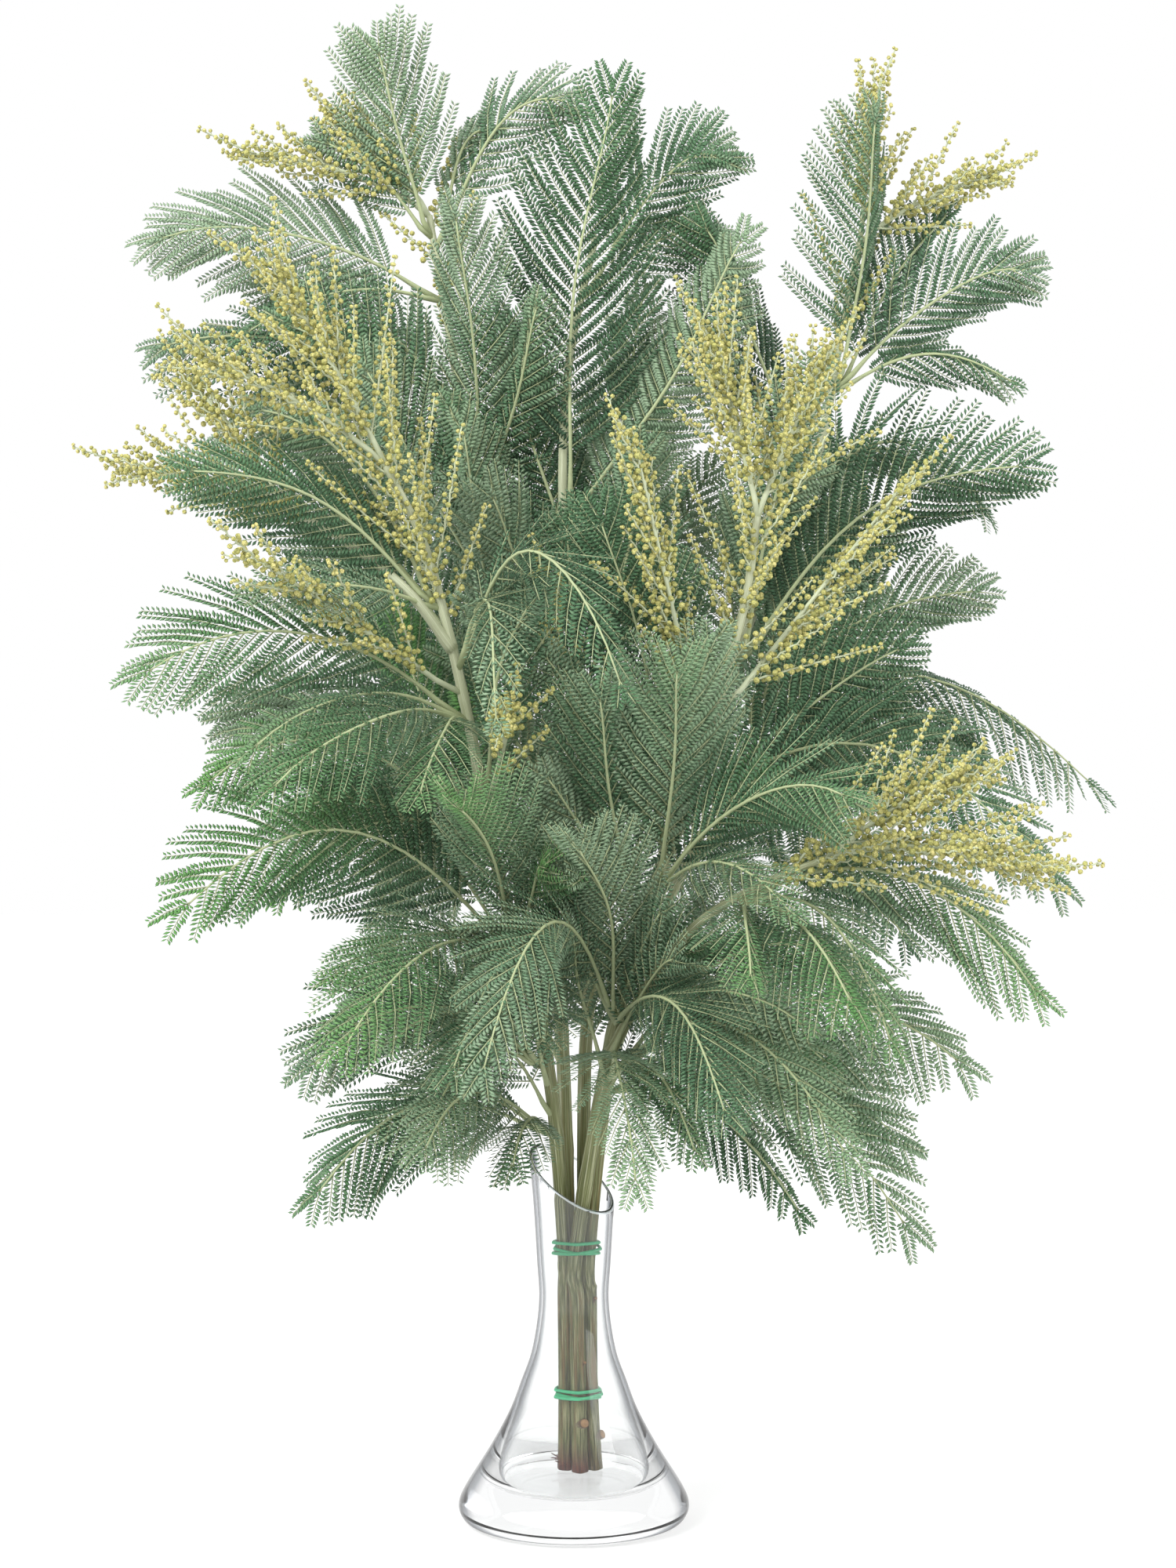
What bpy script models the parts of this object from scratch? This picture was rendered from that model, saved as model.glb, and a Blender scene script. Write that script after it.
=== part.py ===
"""A tied bunch of mimosa (silver wattle) branches that stands in a clear glass vase.

Five cut branches stand on the floor of the vase, held by two rubber bands. Each carries feathery
fronds, cut into pinnae on both sides of an arched rib, and sprays of round flower buds.
The vase stands on Z = 0 with its axis on Z, and the bunch is seen from -Y.
"""

import math
import random

import bpy
import bmesh
from mathutils import Matrix, Quaternion, Vector
from mathutils.bvhtree import BVHTree

MM = 0.001
UP = Vector((0, 0, 1))
GAP = 0.3 * MM
MERGE = 0.00001

# The vase: a blown flask with a thick foot and a slanting mouth
VASE_SIDES = 26
FLOOR_HEIGHT = 14 * MM
RIM_HEIGHT = 154 * MM
RIM_SLOPE_X = -0.585
RIM_SLOPE_Y = 0.43
VASE_OUTSIDE = (
    (21.5, 176),
    (18.6, 146),
    (16.8, 118),
    (15.9, 99),
    (18.9, 78),
    (24.1, 63),
    (29.1, 50),
    (37.7, 34),
    (49.0, 16),
    (52.3, 8),
    (50.5, 2.5),
    (46.0, 0),
)
VASE_INSIDE = (
    (30.0, 14),
    (35.5, 17),
    (35.0, 27),
    (26.6, 50),
    (22.0, 63),
    (17.0, 78),
    (14.1, 99),
    (15.1, 118),
    (16.9, 146),
    (19.8, 176),
)

# The bunch in the neck: five stems in a ring round a leaning axis
STEM_RADIUS = 3.3
STEM_SIDES = 1
RING_RADIUS = 5.9
FOOT_SPREAD = 1.5
NECK_HEIGHTS = (14.8, 56, 100, 124)
NECK_AXIS = ((3, 13), (2, 8), (1.5, 2), (1.2, -0.5))
STEM_POINTS = 14
TWIG_POINTS = 9

# A rubber band wound several times: one closed loop
BAND_THICKNESS = 0.6
BAND_WINDINGS = 3
BAND_STEPS = 11
BAND_CLEARANCE = 0.45
BAND_SPREAD = 0.8

# Branches above the vase: where each passes, in mm
STEM_PATHS = {
    "left": ((-10, -12, 195), (-20, -30, 245), (-35, -48, 305), (-45, -60, 360),
             (-55, -68, 405), (-65, -72, 440), (-80, -78, 470)),
    "front": ((15, -20, 210), (30, -38, 270), (50, -50, 325), (65, -56, 375),
              (75, -58, 415), (80, -58, 450)),
    "right": ((17, 8, 210), (35, 28, 280), (60, 42, 350), (90, 50, 430),
              (115, 54, 490), (125, 56, 540), (135, 56, 590)),
    "centre": ((5, 20, 205), (10, 32, 280), (5, 28, 350), (0, 12, 415),
               (-5, 6, 465), (-2, 20, 530), (10, 38, 590)),
    "top_left": ((-5, 10, 210), (-10, 20, 280), (-20, 28, 350), (-35, 34, 430),
                 (-50, 38, 495), (-60, 40, 555), (-68, 40, 600)),
}
# Side branches: the stem that each grows from, and where it passes
TWIG_PATHS = {
    "low": ("front", ((16, -22, 214), (34, -45, 248), (55, -66, 275), (84, -84, 293), (108, -92, 303))),
    "far_left": ("left", ((-52, -66, 392), (-72, -74, 418), (-98, -76, 438), (-122, -72, 452))),
    "back_left": ("top_left", ((-8, 15, 245), (-27, 60, 295), (-56, 108, 350), (-84, 145, 405))),
    "back_right": ("right", ((24, 16, 236), (48, 60, 285), (78, 112, 340), (108, 150, 400))),
    "back_middle": ("centre", ((9, 30, 272), (12, 78, 330), (16, 126, 390), (20, 158, 450))),
}

# Fronds. A row holds the stem or side branch, the height of its root, the place of its tip,
# the length of its longest pinna, how far it arches up, and how far its face turns from up (0)
# to outward (90 degrees). Rows with one name spring from one bud and are one node.
FRONDS = (
    ("frond_crown", "centre", 452, (8, 2, 650), 48, 0, 88),
    ("frond_left_low", "left", 362, (-174, -115, 385), 44, 26, 62),
    ("frond_left_low", "left", 362, (-112, -162, 334), 40, 16, 60),
    ("frond_left_fan", "left", 258, (-158, -112, 300), 46, 34, 64),
    ("frond_left_fan", "left", 258, (-88, -162, 238), 40, 20, 60),
    ("frond_left_fan", "left", 258, (-42, -140, 330), 36, 8, 80),
    ("frond_left_bright", "left", 304, (-158, -60, 335), 40, 34, 62),
    ("frond_left_bright", "left", 304, (-85, -22, 405), 38, 4, 84),
    ("frond_left_hook", "left", 384, (15, -150, 378), 28, 52, 45),
    ("frond_left_high", "left", 410, (-158, -40, 478), 38, 18, 70),
    ("frond_left_high", "left", 410, (-165, -125, 445), 38, 10, 66),
    ("frond_left_foot", "left", 208, (-108, -88, 218), 40, 26, 62),
    ("frond_left_foot", "left", 208, (-100, -25, 228), 36, 26, 62),
    ("frond_left_foot", "left", 208, (-50, -145, 222), 36, 24, 60),
    ("frond_rim_left", "left", 176, (-112, -62, 172), 40, 22, 62),
    ("frond_rim_left", "left", 176, (-62, -118, 184), 36, 18, 62),
    ("frond_face_left", "front", 305, (12, -86, 450), 42, 4, 86),
    ("frond_face_low", "front", 272, (8, -86, 372), 38, 4, 85),
    ("frond_face_right", "front", 288, (46, -112, 384), 40, 4, 84),
    ("frond_face_right", "front", 288, (108, -152, 326), 38, 22, 70),
    ("frond_nose", "front", 228, (-34, -160, 240), 38, 50, 60),
    ("frond_nose", "front", 228, (62, -165, 224), 38, 24, 60),
    ("frond_nose", "front", 228, (10, -104, 318), 36, 6, 80),
    ("frond_chest", "front", 250, (-34, -104, 308), 36, 10, 76),
    ("frond_right_low", "front", 203, (165, -64, 216), 44, 34, 64),
    ("frond_right_low", "front", 203, (108, -140, 194), 38, 36, 60),
    ("frond_right_low", "front", 203, (22, -142, 176), 35, 28, 62),
    ("frond_rim_right", "right", 194, (145, -45, 152), 46, 32, 66),
    ("frond_rim_right", "right", 194, (150, 20, 178), 40, 26, 66),
    ("frond_east_low", "low", 286, (192, -112, 264), 44, 30, 66),
    ("frond_east_low", "low", 286, (108, -168, 240), 38, 12, 62),
    ("frond_east", "right", 322, (212, -30, 302), 46, 40, 68),
    ("frond_east", "right", 322, (150, 20, 395), 38, 8, 78),
    ("frond_east_high", "right", 352, (232, -8, 352), 46, 38, 68),
    ("frond_east_high", "right", 352, (165, -24, 432), 38, 12, 76),
    ("frond_east_up", "right", 392, (224, 12, 455), 42, 16, 76),
    ("frond_east_up", "right", 392, (150, 8, 508), 36, 4, 80),
    ("frond_right_tip", "right", 520, (140, 40, 648), 38, 2, 82),
    ("frond_right_tip", "right", 520, (208, 30, 578), 34, 16, 68),
    ("frond_right_curl", "right", 478, (58, 22, 592), 38, 14, 80),
    ("frond_right_droop", "right", 470, (168, -12, 466), 34, 26, 66),
    ("frond_centre", "centre", 425, (-32, -12, 542), 38, 6, 85),
    ("frond_centre", "centre", 425, (44, 6, 562), 38, 4, 85),
    ("frond_heart", "centre", 372, (-40, -34, 462), 36, 4, 84),
    ("frond_heart", "centre", 372, (36, -30, 482), 36, 4, 84),
    ("frond_core", "centre", 296, (-48, -34, 384), 38, 8, 80),
    ("frond_core", "centre", 296, (66, -8, 384), 36, 8, 80),
    ("frond_top_right", "centre", 560, (68, 40, 632), 34, 18, 74),
    ("frond_top_arch", "top_left", 585, (-8, 24, 652), 30, 20, 60),
    ("frond_top_left", "top_left", 590, (-98, 26, 668), 38, 6, 78),
    ("frond_north_west", "top_left", 560, (-188, 12, 588), 46, 16, 68),
    ("frond_west", "top_left", 515, (-186, 20, 538), 42, 14, 70),
    ("frond_west", "top_left", 515, (-168, 66, 500), 38, 20, 66),
    ("frond_shoulder", "top_left", 462, (-112, 0, 560), 38, 6, 82),
    ("frond_shoulder", "top_left", 462, (-34, 0, 596), 38, 4, 86),
    ("frond_upright_left", "top_left", 415, (-88, 20, 535), 38, 4, 85),
    ("frond_inner_left", "top_left", 360, (-118, 60, 462), 38, 10, 80),
    ("frond_inner_left", "top_left", 360, (-38, 8, 500), 36, 4, 85),
    ("frond_back_west", "back_left", 312, (-165, 95, 372), 42, 24, 66),
    ("frond_back_west", "back_left", 312, (-140, 150, 300), 38, 30, 66),
    ("frond_back_west", "back_left", 312, (-95, 150, 235), 38, 30, 70),
    ("frond_back_top", "back_left", 372, (-110, 175, 500), 40, 8, 80),
    ("frond_back_top", "back_left", 372, (-40, 150, 470), 38, 8, 80),
    ("frond_back_east", "back_right", 300, (188, 100, 350), 42, 26, 66),
    ("frond_back_east", "back_right", 300, (150, 150, 268), 38, 30, 66),
    ("frond_back_east", "back_right", 300, (90, 120, 212), 38, 30, 70),
    ("frond_back_crown", "back_right", 362, (140, 170, 498), 40, 8, 80),
    ("frond_back_crown", "back_right", 362, (72, 140, 468), 38, 8, 80),
    ("frond_back_middle", "back_middle", 345, (-14, 192, 322), 42, 36, 66),
    ("frond_back_middle", "back_middle", 345, (62, 192, 352), 38, 30, 66),
    ("frond_back_high", "back_middle", 392, (30, 112, 545), 42, 4, 85),
)
# Sprays of buds. A row holds the stem, the height of the root (0 for its very end), the place of
# the tip, how far it arches up, how many racemes it has and how long its longest one is.
SPRAYS = (
    ("spray_left_top", "left", 0, (-125, -92, 548), 4, 5, 66),
    ("spray_left_top", "left", 0, (-152, -98, 512), 4, 4, 58),
    ("spray_far_left", "far_left", 0, (-190, -62, 470), 4, 4, 54),
    ("spray_far_left", "far_left", 0, (-168, -50, 510), 4, 4, 50),
    ("spray_left_side", "left", 374, (-132, -138, 428), 6, 4, 48),
    ("spray_front_top", "front", 0, (62, -62, 524), 0, 5, 62),
    ("spray_front_top", "front", 0, (108, -50, 518), 0, 4, 58),
    ("spray_front_left", "front", 355, (26, -88, 476), 0, 5, 60),
    ("spray_front_right", "front", 368, (142, -52, 462), 0, 4, 60),
    ("spray_low_right", "low", 0, (188, -112, 300), 6, 5, 64),
    ("spray_low_right", "low", 0, (160, -100, 336), 4, 4, 54),
    ("spray_chest", "left", 325, (-22, -108, 352), 22, 3, 36),
    ("spray_middle", "centre", 345, (-12, -34, 425), 0, 3, 44),
    ("spray_top_left", "top_left", 0, (-150, 22, 625), 6, 4, 50),
    ("spray_top_left", "top_left", 0, (-112, 40, 645), 4, 4, 42),
    ("spray_top_right", "right", 0, (140, 40, 655), 0, 4, 46),
    ("spray_top_right", "right", 0, (196, 46, 620), 4, 4, 44),
    ("spray_back_left", "back_left", 0, (-120, 185, 470), 0, 3, 48),
    ("spray_back_right", "back_right", 0, (140, 185, 465), 0, 3, 48),
)

KNOB_SINGLE = 1.5
KNOB_SHARED = 2.0
FACING_FRONT = (0, 260)
FACING_BACK = (0, -140)
MIDDLE_DEPTH = 70
PETIOLE = 0.16
LEAF_THICKNESS = 0.8 * MM
RIB_HALF_WIDTH = 0.9
PAIRS = 5
PINNA_DROOP = 0.3
BROAD_PINNA = 46
BUD_RADIUS = 1.9
STALK_RADIUS = 0.55
BUD_SPACING = 27
BEND_STEPS = (0, 5, 10, 15, 20, 26, 32, 40)
BEND_WAYS = 8
ROLL_STEPS = (0, 12, -12, 25, -25, 40, -40, 60, -60)
ROLL_WEIGHT = 0.3


def clear_scene():
    for obj in list(bpy.data.objects):
        bpy.data.objects.remove(obj)


def material(name, colour, roughness, alpha=1.0):
    made = bpy.data.materials.new(name)
    made.use_nodes = True
    shader = made.node_tree.nodes["Principled BSDF"]
    shader.inputs["Base Color"].default_value = (*colour, 1)
    shader.inputs["Roughness"].default_value = roughness
    shader.inputs["Alpha"].default_value = alpha
    return made


def place(point):
    """A point in mm as a vector in metres."""
    return Vector(point) * MM


def smooth_path(points, count):
    """Points evenly spread in parameter along a Catmull-Rom curve through the given ones."""
    ends = [points[0] * 2 - points[1], *points, points[-1] * 2 - points[-2]]
    path = []
    for step in range(count):
        along = step / (count - 1) * (len(points) - 1)
        k = min(int(along), len(points) - 2)
        t = along - k
        a, b, c, d = ends[k:k + 4]
        path.append(0.5 * (2 * b + (c - a) * t + (2 * a - 5 * b + 4 * c - d) * t * t
                           + (3 * b - a - 3 * c + d) * t ** 3))
    return path


def link(obj, collection):
    collection.objects.link(obj)
    return obj


def tube(name, path, radii, collection, sides=STEM_SIDES, cyclic=False):
    """A round tube along a path, as a mesh with welded caps. Radii are in mm."""
    curve = bpy.data.curves.new(name, "CURVE")
    curve.dimensions = "3D"
    curve.bevel_depth = MM
    curve.bevel_resolution = sides
    curve.use_fill_caps = not cyclic
    spline = curve.splines.new("POLY")
    spline.points.add(len(path) - 1)
    spline.use_cyclic_u = cyclic
    for point, co, radius in zip(spline.points, path, radii):
        point.co = (*co, 1)
        point.radius = radius
    drawn = link(bpy.data.objects.new(name + "_curve", curve), collection)
    bpy.context.view_layer.update()
    graph = bpy.context.evaluated_depsgraph_get()
    mesh = bpy.data.meshes.new_from_object(drawn.evaluated_get(graph))
    bpy.data.objects.remove(drawn)
    welded = bmesh.new()
    welded.from_mesh(mesh)
    bmesh.ops.remove_doubles(welded, verts=welded.verts, dist=MERGE)
    bmesh.ops.recalc_face_normals(welded, faces=welded.faces)
    welded.to_mesh(mesh)
    welded.free()
    mesh.name = name
    return link(bpy.data.objects.new(name, mesh), collection)


def join(base, others, solver="EXACT"):
    """Fuses other solids into base with one Boolean union, then removes them."""
    if not others:
        return base
    pieces = bpy.data.collections.new(base.name + "_pieces")
    bpy.context.scene.collection.children.link(pieces)
    for obj in others:
        for home in list(obj.users_collection):
            home.objects.unlink(obj)
        pieces.objects.link(obj)
    union = base.modifiers.new("union", "BOOLEAN")
    union.operation = "UNION"
    union.operand_type = "COLLECTION"
    union.collection = pieces
    union.solver = solver
    bpy.context.view_layer.update()
    graph = bpy.context.evaluated_depsgraph_get()
    mesh = bpy.data.meshes.new_from_object(base.evaluated_get(graph))
    base.modifiers.clear()
    base.data = mesh
    for obj in others:
        bpy.data.objects.remove(obj)
    bpy.data.collections.remove(pieces)
    return base


def build_vase(collection, cutters, glass):
    profile = [(0, FLOOR_HEIGHT / MM), *VASE_INSIDE, *VASE_OUTSIDE, (0, 0)]
    mesh = bpy.data.meshes.new("vase")
    mesh.from_pydata([place((r, 0, z)) for r, z in profile],
                     [(i, i + 1) for i in range(len(profile) - 1)], [])
    vase = link(bpy.data.objects.new("vase", mesh), collection)
    turn = vase.modifiers.new("turn", "SCREW")
    turn.steps = turn.render_steps = VASE_SIDES
    turn.use_merge_vertices = True
    turn.merge_threshold = MERGE
    turn.use_normal_calculate = True

    bpy.ops.mesh.primitive_cube_add(size=1)
    cutter = bpy.context.active_object
    cutter.name = "mouth_cutter"
    for home in list(cutter.users_collection):
        home.objects.unlink(cutter)
    cutters.objects.link(cutter)
    slope = Vector((-RIM_SLOPE_X, -RIM_SLOPE_Y, 1)).normalized()
    cutter.rotation_mode = "QUATERNION"
    cutter.rotation_quaternion = slope.to_track_quat("Z", "Y")
    cutter.scale = (0.12, 0.12, 0.08)
    cutter.location = UP * RIM_HEIGHT + slope * 0.04
    cutter.hide_render = True
    cutter.display_type = "WIRE"
    cut = vase.modifiers.new("slanting mouth", "BOOLEAN")
    cut.operation = "DIFFERENCE"
    cut.object = cutter
    mesh.materials.append(glass)
    return vase


def neck_points(index):
    """Where stem number index passes in the vase: foot, lower band, neck and upper band."""
    angle = math.radians(198 + 72 * index)
    points = []
    for height, (x, y) in zip(NECK_HEIGHTS, NECK_AXIS):
        ring = RING_RADIUS + (FOOT_SPREAD if height == NECK_HEIGHTS[0] else 0)
        points.append(place((x + ring * math.cos(angle), y + ring * math.sin(angle), height)))
    return points


class Stem:
    """A woody stem or side branch: its centreline and its radius along it."""

    def __init__(self, points, first_radius, last_radius, count):
        self.path = smooth_path(points, count)
        self.radii = [first_radius + (last_radius - first_radius) * (i / (count - 1)) ** 1.3
                      for i in range(count)]

    def at(self, height):
        """Centre, direction and radius in metres where the stem passes this height in mm."""
        if not height:
            return self.path[-1], (self.path[-1] - self.path[-2]).normalized(), self.radii[-1] * MM
        for a, b, radius in zip(self.path, self.path[1:], self.radii):
            if b.z >= height * MM:
                share = (height * MM - a.z) / (b.z - a.z)
                return a.lerp(b, max(share, 0)), (b - a).normalized(), radius * MM
        return self.path[-1], (self.path[-1] - self.path[-2]).normalized(), self.radii[-1] * MM


def lay_out_stems():
    stems = {}
    for index, (name, points) in enumerate(STEM_PATHS.items()):
        whole = [*neck_points(index), *map(place, points)]
        stems[name] = Stem(whole, STEM_RADIUS, 1.4, STEM_POINTS)
    for name, (parent, points) in TWIG_PATHS.items():
        start = stems[parent].at(points[0][2])[0]
        stems[name] = Stem([start, *map(place, points[1:])], 2.1, 1.2, TWIG_POINTS)
    return stems


def build_stems(stems, collection, bark):
    for name in STEM_PATHS:
        stem = tube("stem_" + name, stems[name].path, stems[name].radii, collection)
        twigs = [tube("twig_" + twig, stems[twig].path, stems[twig].radii, collection)
                 for twig, (parent, _) in TWIG_PATHS.items() if parent == name]
        join(stem, twigs)
        stem.data.materials.clear()
        stem.data.materials.append(bark)


def build_band(name, level, spread, collection, rubber):
    """A rubber band wound round the bunch at one of the neck levels, as one closed loop."""
    steps = BAND_STEPS * BAND_WINDINGS
    inner = RING_RADIUS + STEM_RADIUS + BAND_CLEARANCE + BAND_THICKNESS + BAND_SPREAD
    x, y = NECK_AXIS[level]
    path = []
    for step in range(steps):
        turn = 2 * math.pi * step / BAND_STEPS
        phase = turn / BAND_WINDINGS
        radius = inner + BAND_SPREAD * math.cos(phase)
        path.append(place((x + radius * math.cos(turn), y + radius * math.sin(turn),
                           NECK_HEIGHTS[level] + spread * math.sin(phase))))
    band = tube(name, path, [BAND_THICKNESS] * steps, collection, 0, cyclic=True)
    band.data.materials.append(rubber)
    return band


class Rib:
    """The arched rib of a frond, or the axis of a spray, from its root to its tip."""

    def __init__(self, root, tip, arch, face=60):
        self.root, self.tip = root, tip
        self.middle = (root + tip) / 2 + UP * arch * MM * 2
        line = FACING_BACK if self.middle.y > MIDDLE_DEPTH * MM else FACING_FRONT
        outward = (root + tip) / 2 - place((*line, 0))
        outward.z = 0
        outward.normalize()
        turned = math.radians(face)
        self.face = UP * math.cos(turned) + outward * math.sin(turned)

    def at(self, t):
        return (self.root * (1 - t) ** 2 + self.middle * 2 * t * (1 - t) + self.tip * t * t)

    def along(self, t):
        return ((self.middle - self.root) * (1 - t) + (self.tip - self.middle) * t).normalized()

    def frame(self, t):
        """Direction, side and face normal at t."""
        ahead = self.along(t)
        side = ahead.cross(self.face).normalized()
        return ahead, side, side.cross(ahead)


def pinna_length(share, longest):
    """Length of a pinna in mm, by its share of the way up the frond's blade."""
    return longest * (0.95 + 0.75 * share - 1.3 * share * share)


def pinna_angle(share):
    """How far a pinna leans off the rib."""
    return math.radians(58 - 24 * share)


def frond_mesh(name, rib, longest):
    """An open sheet: a strip for the rib, with a blade for each pinna, cut to the rib."""
    sheet = bmesh.new()
    half = RIB_HALF_WIDTH * MM
    stations = [0, PETIOLE / 2] + [PETIOLE + (0.97 - PETIOLE) * i / PAIRS for i in range(PAIRS + 1)]
    rows = []
    for t in stations:
        _, side, _ = rib.frame(t)
        rows.append([sheet.verts.new(rib.at(t) - rib.root + side * half * way) for way in (-1, 1)])
    for (a, b), (c, d) in zip(rows, rows[1:]):
        sheet.faces.new((a, b, d, c))
    for i in range(PAIRS):
        share = (i + 0.5) / PAIRS
        ahead, side, normal = rib.frame(PETIOLE + (0.97 - PETIOLE) * share)
        length = pinna_length(share, longest) * MM
        angle = pinna_angle(share)
        low, high = rows[i + 2], rows[i + 3]
        for way in (0, 1):
            out = side * (2 * way - 1)
            reach = ahead * math.cos(angle) + out * math.sin(angle)
            middle = (low[way].co + high[way].co) / 2
            end = sheet.verts.new(middle + reach * length - normal * length * PINNA_DROOP)
            corners = [low[way], end, high[way]]
            if longest >= BROAD_PINNA:
                early = ahead * math.cos(angle + 0.12) + out * math.sin(angle + 0.12)
                shoulder = low[way].co + early * length * 0.6 - normal * length * 0.02
                corners.insert(1, sheet.verts.new(shoulder))
            sheet.faces.new(corners if way else corners[::-1])
    end = sheet.verts.new(rib.tip - rib.root + rib.along(1) * pinna_length(1, longest) * MM)
    sheet.faces.new((*rows[-1], end))
    bmesh.ops.triangulate(sheet, faces=sheet.faces)
    bmesh.ops.recalc_face_normals(sheet, faces=sheet.faces)
    bmesh.ops.solidify(sheet, geom=sheet.faces, thickness=LEAF_THICKNESS)
    bmesh.ops.recalc_face_normals(sheet, faces=sheet.faces)
    mesh = bpy.data.meshes.new(name)
    sheet.to_mesh(mesh)
    sheet.free()
    return mesh


def knob(name, radius, seat, collection):
    """The swollen foot of a frond or spray, with a corner turned to what carries it."""
    mesh = bpy.data.meshes.new(name)
    ball = bmesh.new()
    bmesh.ops.create_uvsphere(ball, u_segments=4, v_segments=2, radius=radius * MM)
    bmesh.ops.transform(ball, matrix=seat.to_track_quat("Z", "Y").to_matrix().to_4x4(),
                        verts=ball.verts)
    ball.to_mesh(mesh)
    ball.free()
    return link(bpy.data.objects.new(name, mesh), collection)


def root_on(stem, height, tips, radius):
    """Root of a piece on the side of the stem that its tips point to, and the way to its seat."""
    centre, ahead, thickness = stem.at(height)
    if not height:
        return centre + ahead * (GAP + radius * MM), -ahead
    aim = sum(tips, Vector()) / len(tips) - centre
    out = (aim - ahead * aim.dot(ahead)).normalized()
    return centre + out * (thickness + GAP + radius * MM), -out


def turns():
    """Ways to turn a piece, least first: bend angle, the bend's direction and roll."""
    ways = [(angle, way, roll) for angle in BEND_STEPS for roll in ROLL_STEPS
            for way in range(BEND_WAYS if angle else 1)]
    return sorted(ways, key=lambda turn: turn[0] + ROLL_WEIGHT * abs(turn[2]))


def turned(aim, angle, way, roll):
    """The turn that rolls a piece about aim, then swings it by angle degrees one of the ways."""
    across = aim.cross(UP).normalized()
    axis = Quaternion(aim, 2 * math.pi * way / BEND_WAYS) @ across
    return Quaternion(axis, math.radians(angle)) @ Quaternion(aim, math.radians(roll))


class Room:
    """All the solids placed so far, to keep the next one clear of them."""

    def __init__(self):
        self.points, self.faces = [], []
        self.tree = None

    def surface(self, obj):
        graph = bpy.context.evaluated_depsgraph_get()
        mesh = obj.evaluated_get(graph).to_mesh()
        mesh.calc_loop_triangles()
        return [v.co.copy() for v in mesh.vertices], [tuple(f.vertices) for f in mesh.loop_triangles]

    def add(self, obj):
        bpy.context.view_layer.update()
        points, faces = self.surface(obj)
        first = len(self.points)
        self.points += [obj.matrix_world @ p for p in points]
        self.faces += [tuple(first + i for i in face) for face in faces]
        self.tree = BVHTree.FromPolygons(self.points, self.faces)

    def settle(self, obj, aim):
        """Turns obj about its root, by as little as keeps it clear of what is placed."""
        points, faces = self.surface(obj)
        obj.rotation_mode = "QUATERNION"
        best, fewest = None, None
        for way in turns():
            turn = turned(aim, *way)
            tree = BVHTree.FromPolygons([turn @ p + obj.location for p in points], faces)
            hits = len(tree.overlap(self.tree))
            if fewest is None or hits < fewest:
                best, fewest = turn, hits
            if not hits:
                break
        obj.rotation_quaternion = best
        self.add(obj)


def build_fronds(stems, room, collection, green):
    names = list(dict.fromkeys(row[0] for row in FRONDS))
    for name in names:
        rows = [row for row in FRONDS if row[0] == name]
        _, stem, height = rows[0][:3]
        tips = [place(row[3]) for row in rows]
        radius = KNOB_SHARED if len(rows) > 1 else KNOB_SINGLE
        root, seat = root_on(stems[stem], height, tips, radius)
        sheets = []
        for row, tip in zip(rows, tips):
            rib = Rib(root, tip, row[5], row[6])
            mesh = frond_mesh(name, rib, row[4])
            sheets.append(link(bpy.data.objects.new(f"{name}_{len(sheets)}", mesh), collection))
        frond = join(knob(name, radius, seat, collection), sheets)
        frond.data.materials.clear()
        frond.data.materials.append(green)
        frond.location = root
        aim = (sum(tips, Vector()) / len(tips) - root).normalized()
        room.settle(frond, aim)


def raceme(name, start, ahead, side, length, collection, rng):
    """A zigzag stalk that swells into a bud at every bend, as one beaded tube."""
    count = max(2, round(length / BUD_SPACING))
    path, radii = [start], [STALK_RADIUS]
    for k in range(count):
        t = (k + 1) / count
        swing = side * (1 if k % 2 else -1) * (1.5 - 0.6 * t) * MM
        droop = -UP * rng.uniform(0.0, 0.05) * length * t * t * MM
        here = start + ahead * length * t * MM
        path.append(here - ahead * length / count * 0.5 * MM)
        radii.append(STALK_RADIUS)
        path.append(here + swing + droop)
        radii.append(BUD_RADIUS * (1 - 0.25 * t))
    path.append(path[-1] + ahead * BUD_RADIUS * MM)
    radii.append(0.4)
    return tube(name, path, radii, collection, 0)


def build_axis(row, root, seat, collection, rng):
    """The axis of a spray, thicker at its foot, with racemes on all its sides."""
    name, _, height, tip, arch, count, longest = row
    axis = Rib(root, place(tip), arch)
    steps = 3 + round(arch / 7)
    path = [axis.at(t / steps) - root for t in range(steps + 1)]
    radii = [1.3 - 0.7 * t / steps for t in range(steps + 1)]
    pieces = [tube(name + "_axis", path, radii, collection, 0)]
    back = seat if height else Vector()
    for k in range(count):
        t = 0.12 + 0.84 * k / (count - 1)
        ahead, side, normal = axis.frame(t)
        around = 2.4 * k
        out = side * math.cos(around) + normal * math.sin(around)
        out -= back * 2 * max(out.dot(back), 0)
        lean = math.radians(38 - 20 * t)
        way = ahead * math.cos(lean) + out * math.sin(lean)
        swing = way.cross(out).normalized()
        length = longest * (1 - 0.5 * t)
        pieces.append(raceme(f"{name}_{k}", axis.at(t) - root, way, swing, length, collection, rng))
    return pieces


def build_sprays(stems, room, collection, bud):
    for name in dict.fromkeys(row[0] for row in SPRAYS):
        rows = [row for row in SPRAYS if row[0] == name]
        _, stem, height = rows[0][:3]
        tips = [place(row[3]) for row in rows]
        root, seat = root_on(stems[stem], height, tips, KNOB_SINGLE)
        rng = random.Random(name)
        pieces = [piece for row in rows for piece in build_axis(row, root, seat, collection, rng)]
        spray = join(knob(name, KNOB_SINGLE, seat, collection), pieces)
        spray.data.materials.clear()
        spray.data.materials.append(bud)
        spray.location = root
        aim = (sum(tips, Vector()) / len(tips) - root).normalized()
        room.settle(spray, aim)


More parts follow.
